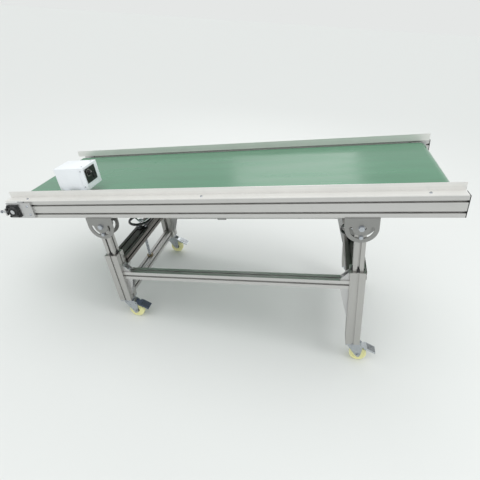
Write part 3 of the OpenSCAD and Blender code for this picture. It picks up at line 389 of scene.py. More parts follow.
class Shape:
    """A mesh put together from turned, boxed and swept forms, in millimetres."""

    def __init__(self) -> None:
        """Starts empty."""
        self.bm = bmesh.new()

    def _placed(self, before: set[bmesh.types.BMVert], place: Matrix) -> None:
        """Moves the vertices that are not in before."""
        new = [v for v in self.bm.verts if v not in before]
        bmesh.ops.transform(self.bm, matrix=place, verts=new)

    def turned(self, profile: Sequence[tuple[float, float]], place: Matrix = Matrix.Identity(4),
               steps: int = 64) -> "Shape":
        """Turns a profile round z.

        Args:
            profile: radius and height of each point; a radius of 0 closes the form.
            place: where it goes.
            steps: faces round the axis.

        Returns:
            The shape itself.
        """
        before = set(self.bm.verts)
        rings: list[list[bmesh.types.BMVert]] = []
        for r, z in profile:
            if r < 1e-6:
                rings.append([self.bm.verts.new((0, 0, z))])
                continue
            angles = [2 * math.pi * i / steps for i in range(steps)]
            rings.append([self.bm.verts.new((r * math.cos(a), r * math.sin(a), z)) for a in angles])
        loop = len(rings[0]) > 1 and len(rings[-1]) > 1
        pairs = list(zip(rings, rings[1:] + rings[:1])) if loop else list(zip(rings, rings[1:]))
        for low, high in pairs:
            for i in range(steps):
                j = (i + 1) % steps
                corners = [low[i % len(low)], low[j % len(low)], high[j % len(high)], high[i % len(high)]]
                face = list(dict.fromkeys(corners))
                if len(face) > 2:
                    self.bm.faces.new(face)
        self._placed(before, place)
        return self

    def block(self, size: Sequence[float], place: Matrix = Matrix.Identity(4),
              bevel: float = 1.0) -> "Shape":
        """Adds a box centred on its place, with rounded edges."""
        before = set(self.bm.verts)
        made = bmesh.ops.create_cube(self.bm, size=1.0)["verts"]
        bmesh.ops.scale(self.bm, vec=Vector(size), verts=made)
        if bevel > 0:
            edges = list({e for v in made for e in v.link_edges})
            bmesh.ops.bevel(self.bm, geom=edges, offset=bevel, segments=3, profile=0.5, affect="EDGES")
        self._placed(before, place)
        return self

    def tube(self, path: Sequence[Sequence[float]], radii: Sequence[float],
             place: Matrix = Matrix.Identity(4),
             steps: int = 20) -> "Shape":
        """Sweeps a circle along a path of a few points, closed at both ends."""
        before = set(self.bm.verts)
        points = [Vector(p) for p in path]
        rings = []
        for i, p in enumerate(points):
            ahead = (points[min(i + 1, len(points) - 1)] - points[max(i - 1, 0)]).normalized()
            turn = ahead.to_track_quat("Z", "Y").to_matrix()
            angles = [2 * math.pi * k / steps for k in range(steps)]
            ring = [p + turn @ Vector((radii[i] * math.cos(a), radii[i] * math.sin(a), 0)) for a in angles]
            rings.append([self.bm.verts.new(v) for v in ring])
        for low, high in zip(rings, rings[1:]):
            for i in range(steps):
                j = (i + 1) % steps
                self.bm.faces.new((low[i], low[j], high[j], high[i]))
        self.bm.faces.new(rings[0][::-1])
        self.bm.faces.new(rings[-1])
        self._placed(before, place)
        return self

    def ring(self, major: float, minor: float, place: Matrix = Matrix.Identity(4), grips: int = 0,
             grip_depth: float = 0.0) -> "Shape":
        """Adds a rim whose underside may be scalloped for the fingers."""
        before = set(self.bm.verts)
        around, section = 144, 20
        rows = []
        for i in range(around):
            a = 2 * math.pi * i / around
            row = []
            for k in range(section):
                b = 2 * math.pi * k / section
                inward = max(0.0, -math.cos(b)) if grips else 0.0
                r = minor - grip_depth * inward * (0.5 + 0.5 * math.cos(grips * a))
                out = major + r * math.cos(b)
                row.append(self.bm.verts.new((out * math.cos(a), out * math.sin(a), r * math.sin(b))))
            rows.append(row)
        for i in range(around):
            near, far = rows[i], rows[(i + 1) % around]
            for k in range(section):
                m = (k + 1) % section
                self.bm.faces.new((near[k], far[k], far[m], near[m]))
        self._placed(before, place)
        return self

    def add(self, mesh: bpy.types.Mesh, place: Matrix = Matrix.Identity(4)) -> "Shape":
        """Takes in a finished mesh, and removes the original."""
        before = set(self.bm.verts)
        self.bm.from_mesh(mesh)
        self._placed(before, place)
        bpy.data.meshes.remove(mesh)
        return self

    def drilled(self, radius: float, length: float, place: Matrix) -> "Shape":
        """Bores a round hole through everything so far.

        Args:
            radius: of the hole.
            length: of the hole, half each way from its place.
            place: the hole's middle, with the hole along z.

        Returns:
            The shape itself.
        """
        half = length / 2
        drill = Shape().turned([(0, -half), (radius, -half), (radius, half), (0, half)], place)
        pair = [bpy.data.objects.new(name, mesh) for name, mesh in
                (("bored", self.mesh("bored")), ("drill", drill.mesh("drill")))]
        for made in pair:
            bpy.context.scene.collection.objects.link(made)
        bore = pair[0].modifiers.new("bore", "BOOLEAN")
        bore.operation, bore.solver, bore.use_self, bore.object = "DIFFERENCE", "EXACT", True, pair[1]
        graph = bpy.context.evaluated_depsgraph_get()
        result = bpy.data.meshes.new_from_object(pair[0].evaluated_get(graph))
        for made in pair:
            bpy.data.objects.remove(made)
        self.bm = bmesh.new()
        self.bm.from_mesh(result)
        # The solver lists what it makes in no fixed order, so it is put in order of place
        in_order(self.bm.verts, lambda vert: vert.co)
        in_order(self.bm.faces, lambda face: face.calc_center_median())
        return self

    def mesh(self, name: str) -> bpy.types.Mesh:
        """Returns the finished mesh, with its faces outwards."""
        bmesh.ops.remove_doubles(self.bm, verts=self.bm.verts, dist=1e-4)
        bmesh.ops.recalc_face_normals(self.bm, faces=self.bm.faces)
        made = bpy.data.meshes.new(name)
        self.bm.to_mesh(made)
        self.bm.free()
        return made


def settle(mesh: bpy.types.Mesh, name: str, finish: Finish, bed: Bed, body: str,
           replaces: Iterable[str] = (),
           place: Matrix = Matrix.Identity(4)) -> bpy.types.Object:
    """Makes a finished piece of a mesh in bed millimetres.

    Args:
        mesh: the mesh.
        name: the piece's name.
        finish: what covers it.
        bed: the bed frame.
        body: the body it rides on.
        replaces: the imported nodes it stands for.
        place: where it goes on the bed.

    Returns:
        The new object, at the origin, with its place in its mesh.
    """
    mesh.transform(bed.matrix @ place)
    mesh.name = name
    mesh.materials.clear()
    mesh.materials.append(finish.shader(bed))
    mesh.shade_smooth()
    mesh.set_sharp_from_angle(angle=math.radians(35))
    made = bpy.data.objects.new(name, mesh)
    bpy.context.scene.collection.objects.link(made)
    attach(made, body)
    for node in replaces:
        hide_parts(node)
    LOG.info("%s: %d faces, on %s", name, len(mesh.polygons), body)
    return made


# ---- repeated forms -------------------------------------------------------------------------


class Repeat:
    """Geometry Nodes trees for what repeats round a circle, along a line or up a screw."""

    def __init__(self, name: str, inputs: dict[str, Any]) -> None:
        """Starts a tree.

        Args:
            name: the tree's name.
            inputs: each size by name, with its value.
        """
        self.tree = bpy.data.node_groups.new(name, "GeometryNodeTree")
        self.values: dict[str, Any] = {}
        for label, value in inputs.items():
            kind = {int: "NodeSocketInt", float: "NodeSocketFloat"}.get(type(value), "NodeSocketVector")
            socket = self.tree.interface.new_socket(label, in_out="INPUT", socket_type=kind)
            self.values[socket.identifier] = value
        self.tree.interface.new_socket("Geometry", in_out="OUTPUT", socket_type="NodeSocketGeometry")
        self.source = put(self.tree, "NodeGroupInput")

    def size(self, label: str) -> bpy.types.NodeSocket:
        """Returns a named size's socket."""
        return self.source.outputs[label]

    def grown(self, shape: bpy.types.NodeSocket, finish: Finish, bed: Bed) -> bpy.types.Mesh:
        """Ends the tree, runs it once and returns a plain mesh.

        Args:
            shape: the geometry the tree has made.
            finish: its material.
            bed: the bed frame.

        Returns:
            The mesh, in millimetres.
        """
        real = put(self.tree, "GeometryNodeRealizeInstances", {"Geometry": shape})
        dressed = put(self.tree, "GeometryNodeSetMaterial", {"Geometry": real.outputs[0]})
        dressed.inputs["Material"].default_value = finish.shader(bed)
        put(self.tree, "NodeGroupOutput", {"Geometry": dressed.outputs[0]})
        carrier = bpy.data.objects.new(self.tree.name, bpy.data.meshes.new(self.tree.name))
        bpy.context.scene.collection.objects.link(carrier)
        modifier = carrier.modifiers.new("repeat", "NODES")
        modifier.node_group = self.tree
        for identifier, value in self.values.items():
            modifier[identifier] = value
        graph = bpy.context.evaluated_depsgraph_get()
        made = bpy.data.meshes.new_from_object(carrier.evaluated_get(graph))
        bpy.data.objects.remove(carrier)
        return made


def spokes(name: str, count: int, radius: float, size: Sequence[float], finish: Finish,
           bed: Bed) -> bpy.types.Mesh:
    """Makes small bars round z, each with its own x pointing outwards.

    Args:
        name: the tree's name.
        count: how many.
        radius: from the axis to a bar's middle.
        size: a bar's size outwards, around and along the axis.
        finish: its material.
        bed: the bed frame.

    Returns:
        One mesh of all the bars.
    """
    tool = Repeat(name, {"Count": count, "Radius": float(radius), "Size": Vector(size)})
    tree = tool.tree
    circle = put(tree, "GeometryNodeMeshCircle", {"Vertices": tool.size("Count"),
                                                  "Radius": tool.size("Radius")})
    bar = put(tree, "GeometryNodeMeshCube", {"Size": tool.size("Size")})
    outwards = put(tree, "GeometryNodeInputPosition")
    turn = put(tree, "FunctionNodeAlignRotationToVector", {"Vector": outwards.outputs[0]}, axis="X")
    many = put(tree, "GeometryNodeInstanceOnPoints", {"Points": circle.outputs["Mesh"],
                                                      "Instance": bar.outputs["Mesh"],
                                                      "Rotation": turn.outputs[0]})
    return tool.grown(many.outputs[0], finish, bed)


def row(name: str, count: int, step: Sequence[float], size: Sequence[float], finish: Finish,
        bed: Bed) -> bpy.types.Mesh:
    """Makes bars in a straight row from the origin, step apart."""
    tool = Repeat(name, {"Count": count, "Step": Vector(step), "Size": Vector(size)})
    tree = tool.tree
    line = put(tree, "GeometryNodeMeshLine", {"Count": tool.size("Count"), "Offset": tool.size("Step")})
    bar = put(tree, "GeometryNodeMeshCube", {"Size": tool.size("Size")})
    many = put(tree, "GeometryNodeInstanceOnPoints", {"Points": line.outputs["Mesh"],
                                                      "Instance": bar.outputs["Mesh"]})
    return tool.grown(many.outputs[0], finish, bed)


def thread(name: str, turns: float, radius: float, pitch: float, finish: Finish, bed: Bed) -> bpy.types.Mesh:
    """Makes a screw thread's ridge up z from the origin.

    Args:
        name: the tree's name.
        turns: how many times round.
        radius: of the ridge's middle line.
        pitch: rise in one turn.
        finish: its material.
        bed: the bed frame.

    Returns:
        The ridge's mesh.
    """
    tool = Repeat(name, {"Turns": float(turns), "Radius": float(radius), "Height": float(turns * pitch),
                         "Ridge": float(pitch * 0.33)})
    tree = tool.tree
    coil = put(tree, "GeometryNodeCurveSpiral", {"Resolution": 20, "Rotations": tool.size("Turns"),
                                                 "Start Radius": tool.size("Radius"),
                                                 "End Radius": tool.size("Radius"),
                                                 "Height": tool.size("Height")})
    ridge = put(tree, "GeometryNodeCurvePrimitiveCircle", {"Resolution": 6, "Radius": tool.size("Ridge")})
    sweep = put(tree, "GeometryNodeCurveToMesh", {"Curve": coil.outputs[0],
                                                  "Profile Curve": ridge.outputs[0],
                                                  "Fill Caps": True})
    return tool.grown(sweep.outputs[0], finish, bed)


def screw_heads(name: str, spots: Sequence[tuple[Sequence[float], Sequence[float]]], radius: float,
                height: float,
                finish: Finish, bed: Bed) -> bpy.types.Mesh:
    """Makes one socket screw head on each spot.

    Args:
        name: the tree's name.
        spots: each head's foot, and the way it points.
        radius: of a head.
        height: of a head.
        finish: its material.
        bed: the bed frame.

    Returns:
        One mesh of all the heads.
    """
    carrier = bpy.data.meshes.new(name + "_spots")
    carrier.from_pydata([tuple(p) for p, _ in spots], [], [])
    aim = carrier.attributes.new("aim", "FLOAT_VECTOR", "POINT")
    aim.data.foreach_set("vector", [c for _, d in spots for c in d])
    holder = bpy.data.objects.new(name + "_spots", carrier)
    bpy.context.scene.collection.objects.link(holder)
    tool = Repeat(name, {"Radius": float(radius), "Height": float(height)})
    tree = tool.tree
    source = put(tree, "GeometryNodeObjectInfo", {"Object": holder})
    head = put(tree, "GeometryNodeMeshCylinder", {"Vertices": 20, "Radius": tool.size("Radius"),
                                                  "Depth": tool.size("Height")})
    socket_size = put(tree, "ShaderNodeMath", {0: tool.size("Radius"), 1: 0.5}, operation="MULTIPLY")
    socket = put(tree, "GeometryNodeMeshCylinder", {"Vertices": 6, "Radius": socket_size.outputs[0],
                                                    "Depth": tool.size("Height")})
    lifted = put(tree, "ShaderNodeCombineXYZ", {"Z": tool.size("Height")})
    well = put(tree, "GeometryNodeTransform", {"Geometry": socket.outputs["Mesh"],
                                               "Translation": lifted.outputs[0]})
    cut = put(tree, "GeometryNodeMeshBoolean", {"Mesh 1": head.outputs["Mesh"], "Mesh 2": well.outputs[0]},
              operation="DIFFERENCE")
    half = put(tree, "ShaderNodeMath", {0: tool.size("Height"), 1: 0.5}, operation="MULTIPLY")
    rise = put(tree, "ShaderNodeCombineXYZ", {"Z": half.outputs[0]})
    seated = put(tree, "GeometryNodeTransform", {"Geometry": cut.outputs[0], "Translation": rise.outputs[0]})
    pointing = put(tree, "GeometryNodeInputNamedAttribute", {"Name": "aim"}, data_type="FLOAT_VECTOR")
    turn = put(tree, "FunctionNodeAlignRotationToVector", {"Vector": pointing.outputs[0]}, axis="Z")
    many = put(tree, "GeometryNodeInstanceOnPoints", {"Points": source.outputs["Geometry"],
                                                      "Instance": seated.outputs[0],
                                                      "Rotation": turn.outputs[0]})
    made = tool.grown(many.outputs[0], finish, bed)
    bpy.data.objects.remove(holder)
    return made


# ---- sub-assemblies -------------------------------------------------------------------------

ACROSS_OUT = Matrix.Rotation(math.radians(90), 4, "X")       # turns +z to -y, the near side
ALONG_BELT = Matrix.Rotation(math.radians(90), 4, "Y")       # turns +z to +x


def shift(x: float, y: float, z: float) -> Matrix:
    """Returns a translation in millimetres."""
    return Matrix.Translation((x, y, z))


@dataclass
class LiftSpindle:
    """A handwheel on a threaded spindle, for one end of the stand."""

    end: str
    x: float
    hub_z: float
    bottom_z: float
    collar_z: float
    rim_r: float = 55.5
    rim_section: float = 7.0
    rim_rise: float = 32.0
    hub_r: float = 16.0
    hub_h: float = 26.0
    screw_r: float = 8.0
    pitch: float = 4.0
    thread_depth: float = 1.6
    spoke_angles: tuple[float, ...] = (30.0, 150.0, 270.0)

    def build(self, bed: Bed) -> None:
        """Builds the rim, the spider with its hub, and the spindle."""
        body = f"{self.end}_screw"
        foot = shift(self.x, 0, self.hub_z)
        rim = Shape().ring(self.rim_r, self.rim_section, shift(0, 0, self.rim_rise), 9, 1.4)
        settle(rim.mesh("rim"), f"{self.end}_handwheel_rim", PHENOLIC, bed, body,
               [f"{self.end}_handwheel"], foot)
        spider = Shape()
        spider.turned([(self.screw_r, 0), (self.hub_r - 1.5, 0), (self.hub_r, 1.5), (self.hub_r, 9),
                       (self.hub_r - 2.5, 12), (self.hub_r - 2.5, self.hub_h - 4),
                       (self.hub_r - 4.5, self.hub_h),
                       (self.screw_r, self.hub_h)])
        rise = self.rim_rise - self.hub_h / 2
        for angle in self.spoke_angles:
            turn = Matrix.Rotation(math.radians(angle), 4, "Z") @ shift(0, 0, self.hub_h / 2)
            spider.tube([(9, 0, 0), (22, 0, rise * 0.25), (40, 0, rise * 0.72), (self.rim_r - 2, 0, rise)],
                        [5.2, 4.4, 4.0, 4.4], turn)
        settle(spider.mesh("spider"), f"{self.end}_handwheel_spider", CHROME, bed, body,
               [f"{self.end}_handwheel"], foot)
        self.spindle(bed, body)

    def spindle(self, bed: Bed, body: str) -> None:
        """Builds the threaded spindle with its collar and top nut."""
        core = self.screw_r - self.thread_depth
        top = self.hub_z + self.hub_h
        shaft = Shape()
        shaft.turned([(0, self.bottom_z), (core - 1.5, self.bottom_z), (core, self.bottom_z + 2),
                      (core, self.collar_z), (self.screw_r + 4, self.collar_z),
                      (self.screw_r + 5, self.collar_z + 1),
                      (self.screw_r + 5, self.collar_z + 7), (self.screw_r, self.collar_z + 7),
                      (self.screw_r, top),
                      (0, top)], steps=40)
        shaft.turned([(0, top), (12.5, top), (13.8, top + 1), (13.8, top + 5.5), (9, top + 7.2),
                      (5, top + 8),
                      (0, top + 8)], steps=6)
        turns = math.floor((self.collar_z - self.bottom_z - 6) / self.pitch)
        ridge = thread(f"{self.end}_thread", turns, core, self.pitch, ZINC, bed)
        shaft.add(ridge, shift(0, 0, self.bottom_z + 3))
        settle(shaft.mesh("spindle"), f"{self.end}_lead_screw_threaded", ZINC, bed, body,
               [f"{self.end}_lead_screw"],
               shift(self.x, 0, 0))


@dataclass
class Caster:
    """A braked swivel caster under one leg."""

    corner: str
    x: float
    y: float
    foot_z: float
    trail: float = 28.0
    drop: float = 78.0
    radius: float = 37.5
    tread: float = 24.0
    hub_r: float = 11.0
    hub_half: float = 13.5
    pedal: tuple[float, float] = (38.0, -29.0)
    axle_bore: float = 5.05
    tread_bore: float = 13.2
    rib_count: int = 7
    rib: tuple[float, float, float] = (2.2, 34.0, 1.4)

    def build(self, bed: Bed) -> None:
        """Builds the wheel with its bearing caps, the swivel's cover, and the pedal's ribs."""
        axle = shift(self.x + self.trail, self.y, self.foot_z - self.drop) @ ACROSS_OUT
        t, r = self.tread / 2, self.radius
        wheel = Shape().turned([(13, -t + 3), (r - 12, -t + 4.5), (r - 9, -t + 1), (r - 5, -t),
                                (r - 2.2, -t + 1.2),
                                (r - 0.6, -t + 3.6), (r, -t + 7), (r, t - 7), (r - 0.6, t - 3.6),
                                (r - 2.2, t - 1.2),
                                (r - 5, t), (r - 9, t - 1), (r - 12, t - 4.5), (13, t - 3)], steps=96)
        settle(wheel.mesh("wheel"), f"{self.corner}_caster_tread", TREAD, bed, f"{self.corner}_wheel",
               [f"{self.corner}_caster_wheel"], axle)
        hub = Shape()
        hub.turned([(self.axle_bore, -self.hub_half), (self.hub_r - 2, -self.hub_half),
                    (self.hub_r, -self.hub_half + 1.2),
                    (self.tread_bore, -t + 2.6), (self.tread_bore, t - 2.6),
                    (self.hub_r, self.hub_half - 1.2), (self.hub_r - 2, self.hub_half),
                    (self.axle_bore, self.hub_half)], steps=48)
        settle(hub.mesh("hub"), f"{self.corner}_caster_hub", BLACK_NYLON, bed, f"{self.corner}_wheel",
               (), axle)
        self.cover(bed)
        self.ribs(bed)

    def cover(self, bed: Bed) -> None:
        """Builds the pressed dust cover round the swivel race."""
        cover = Shape().turned([(21.2, -11.8), (23.5, -11.8), (24.2, -10.8), (23.2, -6.4), (22, -4.2),
                                (21.2, -4.2)],
                               steps=64)
        settle(cover.mesh("cover"), f"{self.corner}_swivel_cover", ZINC, bed, "base_frame", (),
               shift(self.x, self.y, self.foot_z))

    def ribs(self, bed: Bed) -> None:
        """Builds the grip ribs on top of the brake pedal."""
        x, z = self.pedal
        start, end = Vector((x + 29, 0, z - 4.9)), Vector((x + 60, 0, z - 23.6))
        slope = math.atan2(end.z - start.z, end.x - start.x)
        step = (end - start).length / (self.rib_count - 1)
        bars = row(f"{self.corner}_ribs", self.rib_count, (step, 0, 0), self.rib, DARK_STEEL, bed)
        lean = Matrix.Rotation(-slope, 4, "Y")
        place = shift(self.x, self.y, self.foot_z) @ Matrix.Translation(start) @ lean
        shape = Shape().add(bars)
        settle(shape.mesh("ribs"), f"{self.corner}_pedal_ribs", DARK_STEEL, bed, f"{self.corner}_brake",
               (), place)


@dataclass
class DriveEnd:
    """The lower end: bearing housings on both sides, and the gear motor on the far side."""

    x: float = -935.0
    z: float = -40.3
    bracket_y: float = 325.0
    plate: tuple[float, float] = (58.0, 8.0)
    boss: tuple[float, float] = (24.0, 16.0)
    shaft_r: float = 10.0
    bore_room: float = 0.08
    housing_screw: tuple[float, float, float] = (22.5, 4.6, 4.0)
    cover_circle: float = 33.0
    gear_y: float = 342.0
    gear_size: tuple[float, float, float] = (76.0, 62.0, 112.0)
    gear_over: float = 34.0
    motor_x: float = -888.0
    motor_y: float = 373.0
    motor_z: float = -80.3
    motor_len: float = 150.0

    def build(self, bed: Bed) -> None:
        """Builds both housings, the gearbox and the motor."""
        for side, name in ((-1, "near"), (1, "far")):
            self.housing(bed, side, name)
        self.gearbox(bed)
        self.motor(bed)

    def housing(self, bed: Bed, side: int, name: str) -> None:
        """Builds one flanged bearing housing with its bolts and insert."""
        size, thick = self.plate
        boss_r, boss_t = self.boss
        outwards = Matrix.Rotation(math.radians(-90 * side), 4, "X")
        face = shift(self.x, side * self.bracket_y, self.z) @ outwards
        shape = Shape().block((size, size, thick), shift(0, 0, thick / 2), 3.0)
        shape.turned([(0, 1), (boss_r + 1.5, 1), (boss_r + 1.2, thick + 0.5), (boss_r - 1, thick + 2.5),
                      (boss_r - 2, boss_t - 1.5), (boss_r - 4, boss_t - 0.2), (boss_r - 7, boss_t - 0.2),
                      (boss_r - 8, boss_t - 2), (self.shaft_r + 2, boss_t - 2),
                      (self.shaft_r + 2, boss_t - 3),
                      (0, boss_t - 3)])
        shape.drilled(self.shaft_r + self.bore_room, 4 * boss_t, Matrix.Identity(4))
        settle(shape.mesh("housing"), f"{name}_bearing_casting", CAST_IRON, bed, "bed",
               ["bearing_housings"], face)
        out, head_r, head_h = self.housing_screw
        spots = [((sx * out, sy * out, thick - 0.2), (0, 0, 1)) for sx in (-1, 1) for sy in (-1, 1)]
        heads = Shape().add(screw_heads(f"{name}_housing_screws", spots, head_r, head_h, DARK_STEEL, bed))
        heads.turned([(self.shaft_r + 0.1, boss_t - 2.5), (self.shaft_r + 4, boss_t - 2.5),
                      (self.shaft_r + 4, boss_t - 0.7), (self.shaft_r + 0.1, boss_t - 0.7)])
        settle(heads.mesh("heads"), f"{name}_housing_fixings", DARK_STEEL, bed, "bed", (), face)

    def gearbox(self, bed: Bed) -> None:
        """Builds the worm gearbox: bevelled case, boss, flange, cooling ribs and cover screws."""
        w, d, h = self.gear_size
        mid = Vector((self.x, self.gear_y + d / 2, self.z + self.gear_over - h / 2))
        case = Shape().block((w, d - 2, h), Matrix.Translation(mid), 7.0)
        out = Matrix.Rotation(math.radians(-90), 4, "X")
        case.turned([(self.shaft_r + 0.1, -0.5), (28, -0.5), (28, d + 1), (26, d + 4),
                     (self.shaft_r + 0.1, d + 4)],
                    shift(self.x, self.gear_y, self.z) @ out)
        case.turned([(0, -3), (38, -3), (38, 7.5), (37, 9), (0, 9)],
                    shift(self.motor_x - 9, self.motor_y, self.motor_z) @ ALONG_BELT)
        bars = row("gearbox_ribs", 7, (0, 8.4, 0), (w - 16, 2.4, 3.0), BLUE_ENAMEL, bed)
        case.add(bars, shift(self.x, self.gear_y + 5.8, self.z + self.gear_over - 1.6))
        case.drilled(self.shaft_r + self.bore_room, 4 * d, Matrix.Translation((self.x, mid.y, self.z)) @ out)
        settle(case.mesh("gearbox"), "gearbox_casting", BLUE_ENAMEL, bed, "bed", ["gearbox"])
        far = self.gear_y + d - 1.2
        around, turns = self.cover_circle, [math.radians(60 * k) for k in range(6)]
        spots = [((self.x + around * math.cos(a), far, self.z + around * math.sin(a)), (0, 1, 0))
                 for a in turns]
        spots += [((self.x + sx * 28, far, self.z - 68), (0, 1, 0)) for sx in (-1, 1)]
        heads = Shape().add(screw_heads("gearbox_screws", spots, 4.2, 3.6, ZINC, bed))
        settle(heads.mesh("heads"), "gearbox_cover_screws", ZINC, bed, "bed")

    def motor(self, bed: Bed) -> None:
        """Builds the finned motor, its fan cover with air slots, and its terminal box."""
        axis = shift(self.motor_x, self.motor_y, self.motor_z) @ ALONG_BELT
        n = self.motor_len
        body = Shape().turned([(0, 0), (38, 0), (38, 7), (36, 9), (31, 10), (30, 13), (30, n - 40),
                               (33, n - 37),
                               (33, n - 35), (36.5, n - 34), (36.5, n - 8), (35.5, n - 3), (32, n), (0, n)])
        fins = spokes("motor_fins", 30, 31.8, (4.4, 1.5, n - 54), BLUE_ENAMEL, bed)
        body.add(fins, shift(0, 0, (n - 54) / 2 + 13))
        body.block((30, 56, 48), shift(33, 0, 64), 3.0)
        body.block((4, 60, 52), shift(46, 0, 64), 1.5)
        settle(body.mesh("motor"), "motor_casting", BLUE_ENAMEL, bed, "bed", ["motor"], axis)
        slots = Shape()
        for radius, count in ((9.0, 8), (17.0, 14), (25.0, 20)):
            bars = spokes(f"fan_slots_{count}", count, radius, (5.6, 2.0, 0.8), BLACK_NYLON, bed)
            slots.add(bars, shift(0, 0, n + 0.1))
        settle(slots.mesh("slots"), "motor_fan_slots", BLACK_NYLON, bed, "bed", (), axis)
        spots = [((48, sy * 25, 64 + sx * 21), (1, 0, 0)) for sx in (-1, 1) for sy in (-1, 1)]
        heads = Shape().add(screw_heads("terminal_screws", spots, 2.6, 1.6, ZINC, bed))
        settle(heads.mesh("heads"), "motor_terminal_screws", ZINC, bed, "bed", (), axis)


@dataclass
class ControlBox:
    """The white control box over the belt's near edge, with its panel, knob and switch."""

    low: tuple[float, float, float] = (-711.0, -262.0, 24.0)
    size: tuple[float, float, float] = (140.0, 108.0, 96.0)
    panel: tuple[float, float] = (-217.0, 80.0)
    panel_size: tuple[float, float] = (74.0, 60.0)
    knob: tuple[float, float] = (-231.0, 90.0)
    switch: tuple[float, float] = (-200.0, 72.0)
    knob_r: float = 11.0
    knob_h: float = 13.0
    straps: tuple[float, float] = (-682.0, -600.0)
    cover_w: float = 22.0

    def build(self, bed: Bed) -> None:
        """Builds the case, the screws, the dial and the knob."""
        self.case(bed)
        self.dial(bed)

    def case(self, bed: Bed) -> None:
        """Builds the folded case in two parts with a seam, its window frame and its straps."""
        x0, y0, z0 = self.low
        w, d, h = self.size
        seam = x0 + w - self.cover_w
        shell = Shape().block((w - self.cover_w - 0.5, d - 1.2, h - 1.2),
                              shift((x0 + seam) / 2 - 0.25, y0 + d / 2, z0 + h / 2), 1.6)
        shell.block((self.cover_w - 3, d, h), shift(seam + (self.cover_w - 3) / 2, y0 + d / 2,
                                                    z0 + h / 2), 1.6)
        self.frame_round_panel(shell, x0 + w)
        for x in self.straps:
            shell.block((30, 2, 20), shift(x, -273, 14), 0.6)
            shell.block((30, 60, 2), shift(x, -244, 23), 0.6)
        settle(shell.mesh("case"), "control_box_case", POWDER_WHITE, bed, "bed", ["control_box"])
        spots = [((seam + 9, y0, z0 + dz), (0, -1, 0)) for dz in (14, h - 14)]
        spots += [((seam + 9, y0 + d, z0 + dz), (0, 1, 0)) for dz in (14, h - 14)]
        spots += [((seam + 9, y0 + dy, z0 + h), (0, 0, 1)) for dy in (18, d - 18)]
        heads = Shape().add(screw_heads("case_screws", spots, 3.0, 1.2, ZINC, bed))
        settle(heads.mesh("heads"), "control_box_screws", ZINC, bed, "bed")

    def frame_round_panel(self, shell: Shape, x1: float) -> None:
        """Adds the four raised borders round the panel's window.

        Args:
            shell: the case being built.
            x1: the case's front face.
        """
        _, y0, z0 = self.low
        _, d, h = self.size
        py, pz = self.panel
        pw, ph = self.panel_size
        lo_y, hi_y = py - pw / 2 + 4, py + pw / 2 - 4
        lo_z, hi_z = pz - ph / 2 + 4, pz + ph / 2 - 4
        x = x1 - 1.6
        shell.block((3.2, lo_y - y0, h), shift(x, (y0 + lo_y) / 2, z0 + h / 2), 0.8)
        shell.block((3.2, y0 + d - hi_y, h), shift(x, (hi_y + y0 + d) / 2, z0 + h / 2), 0.8)
        shell.block((3.2, hi_y - lo_y + 4, lo_z - z0), shift(x, py, (z0 + lo_z) / 2), 0.8)
        shell.block((3.2, hi_y - lo_y + 4, z0 + h - hi_z), shift(x, py, (hi_z + z0 + h) / 2), 0.8)

    def dial(self, bed: Bed) -> None:
        """Builds the knob with its flutes and pointer, and the dial's marks."""
        face = self.low[0] + self.size[0] + 3.0
        at_knob = shift(face, *self.knob) @ ALONG_BELT
        knob = Shape().turned([(0, -5.5), (3, -5.5), (3, 0.4), (self.knob_r - 0.6, 0.4), (self.knob_r, 1.2),
                               (self.knob_r - 0.8, 4), (self.knob_r - 2.6, 5),
                               (self.knob_r - 3.2, self.knob_h - 1),
                               (self.knob_r - 4.2, self.knob_h), (0, self.knob_h)])
        flutes = spokes("knob_flutes", 24, self.knob_r - 2.9, (1.2, 1.0, 6.6), BLACK_NYLON, bed)
        knob.add(flutes, shift(0, 0, 8.6))
        settle(knob.mesh("knob"), "speed_knob_fluted", BLACK_NYLON, bed, "speed_knob", ["speed_knob"],
               at_knob)
        pointer = Shape().block((7, 1.6, 0.9), shift(-4.6, 0, self.knob_h), 0.3)
        settle(pointer.mesh("pointer"), "speed_knob_pointer", MARK_WHITE, bed, "speed_knob", (), at_knob)
        marks = Shape().add(spokes("dial_marks", 24, 14.2, (2.6, 0.7, 0.4), MARK_WHITE, bed))
        settle(marks.mesh("marks"), "speed_dial_marks", MARK_WHITE, bed, "bed", (),
               at_knob @ shift(0, 0, 0.1))
        y, z = self.switch
        frame = Shape()
        for dy, dz, sy, sz in ((-8.4, 0, 1.6, 24), (8.4, 0, 1.6, 24), (0, -11.6, 18.4, 1.6),
                               (0, 11.6, 18.4, 1.6)):
            frame.block((1.6, sy, sz), shift(face + 0.6, y + dy, z + dz), 0.4)
        settle(frame.mesh("frame"), "power_switch_bezel", BLACK_NYLON, bed, "bed")


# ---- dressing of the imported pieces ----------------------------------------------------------

CORNERS = ("near_left", "far_left", "near_right", "far_right")

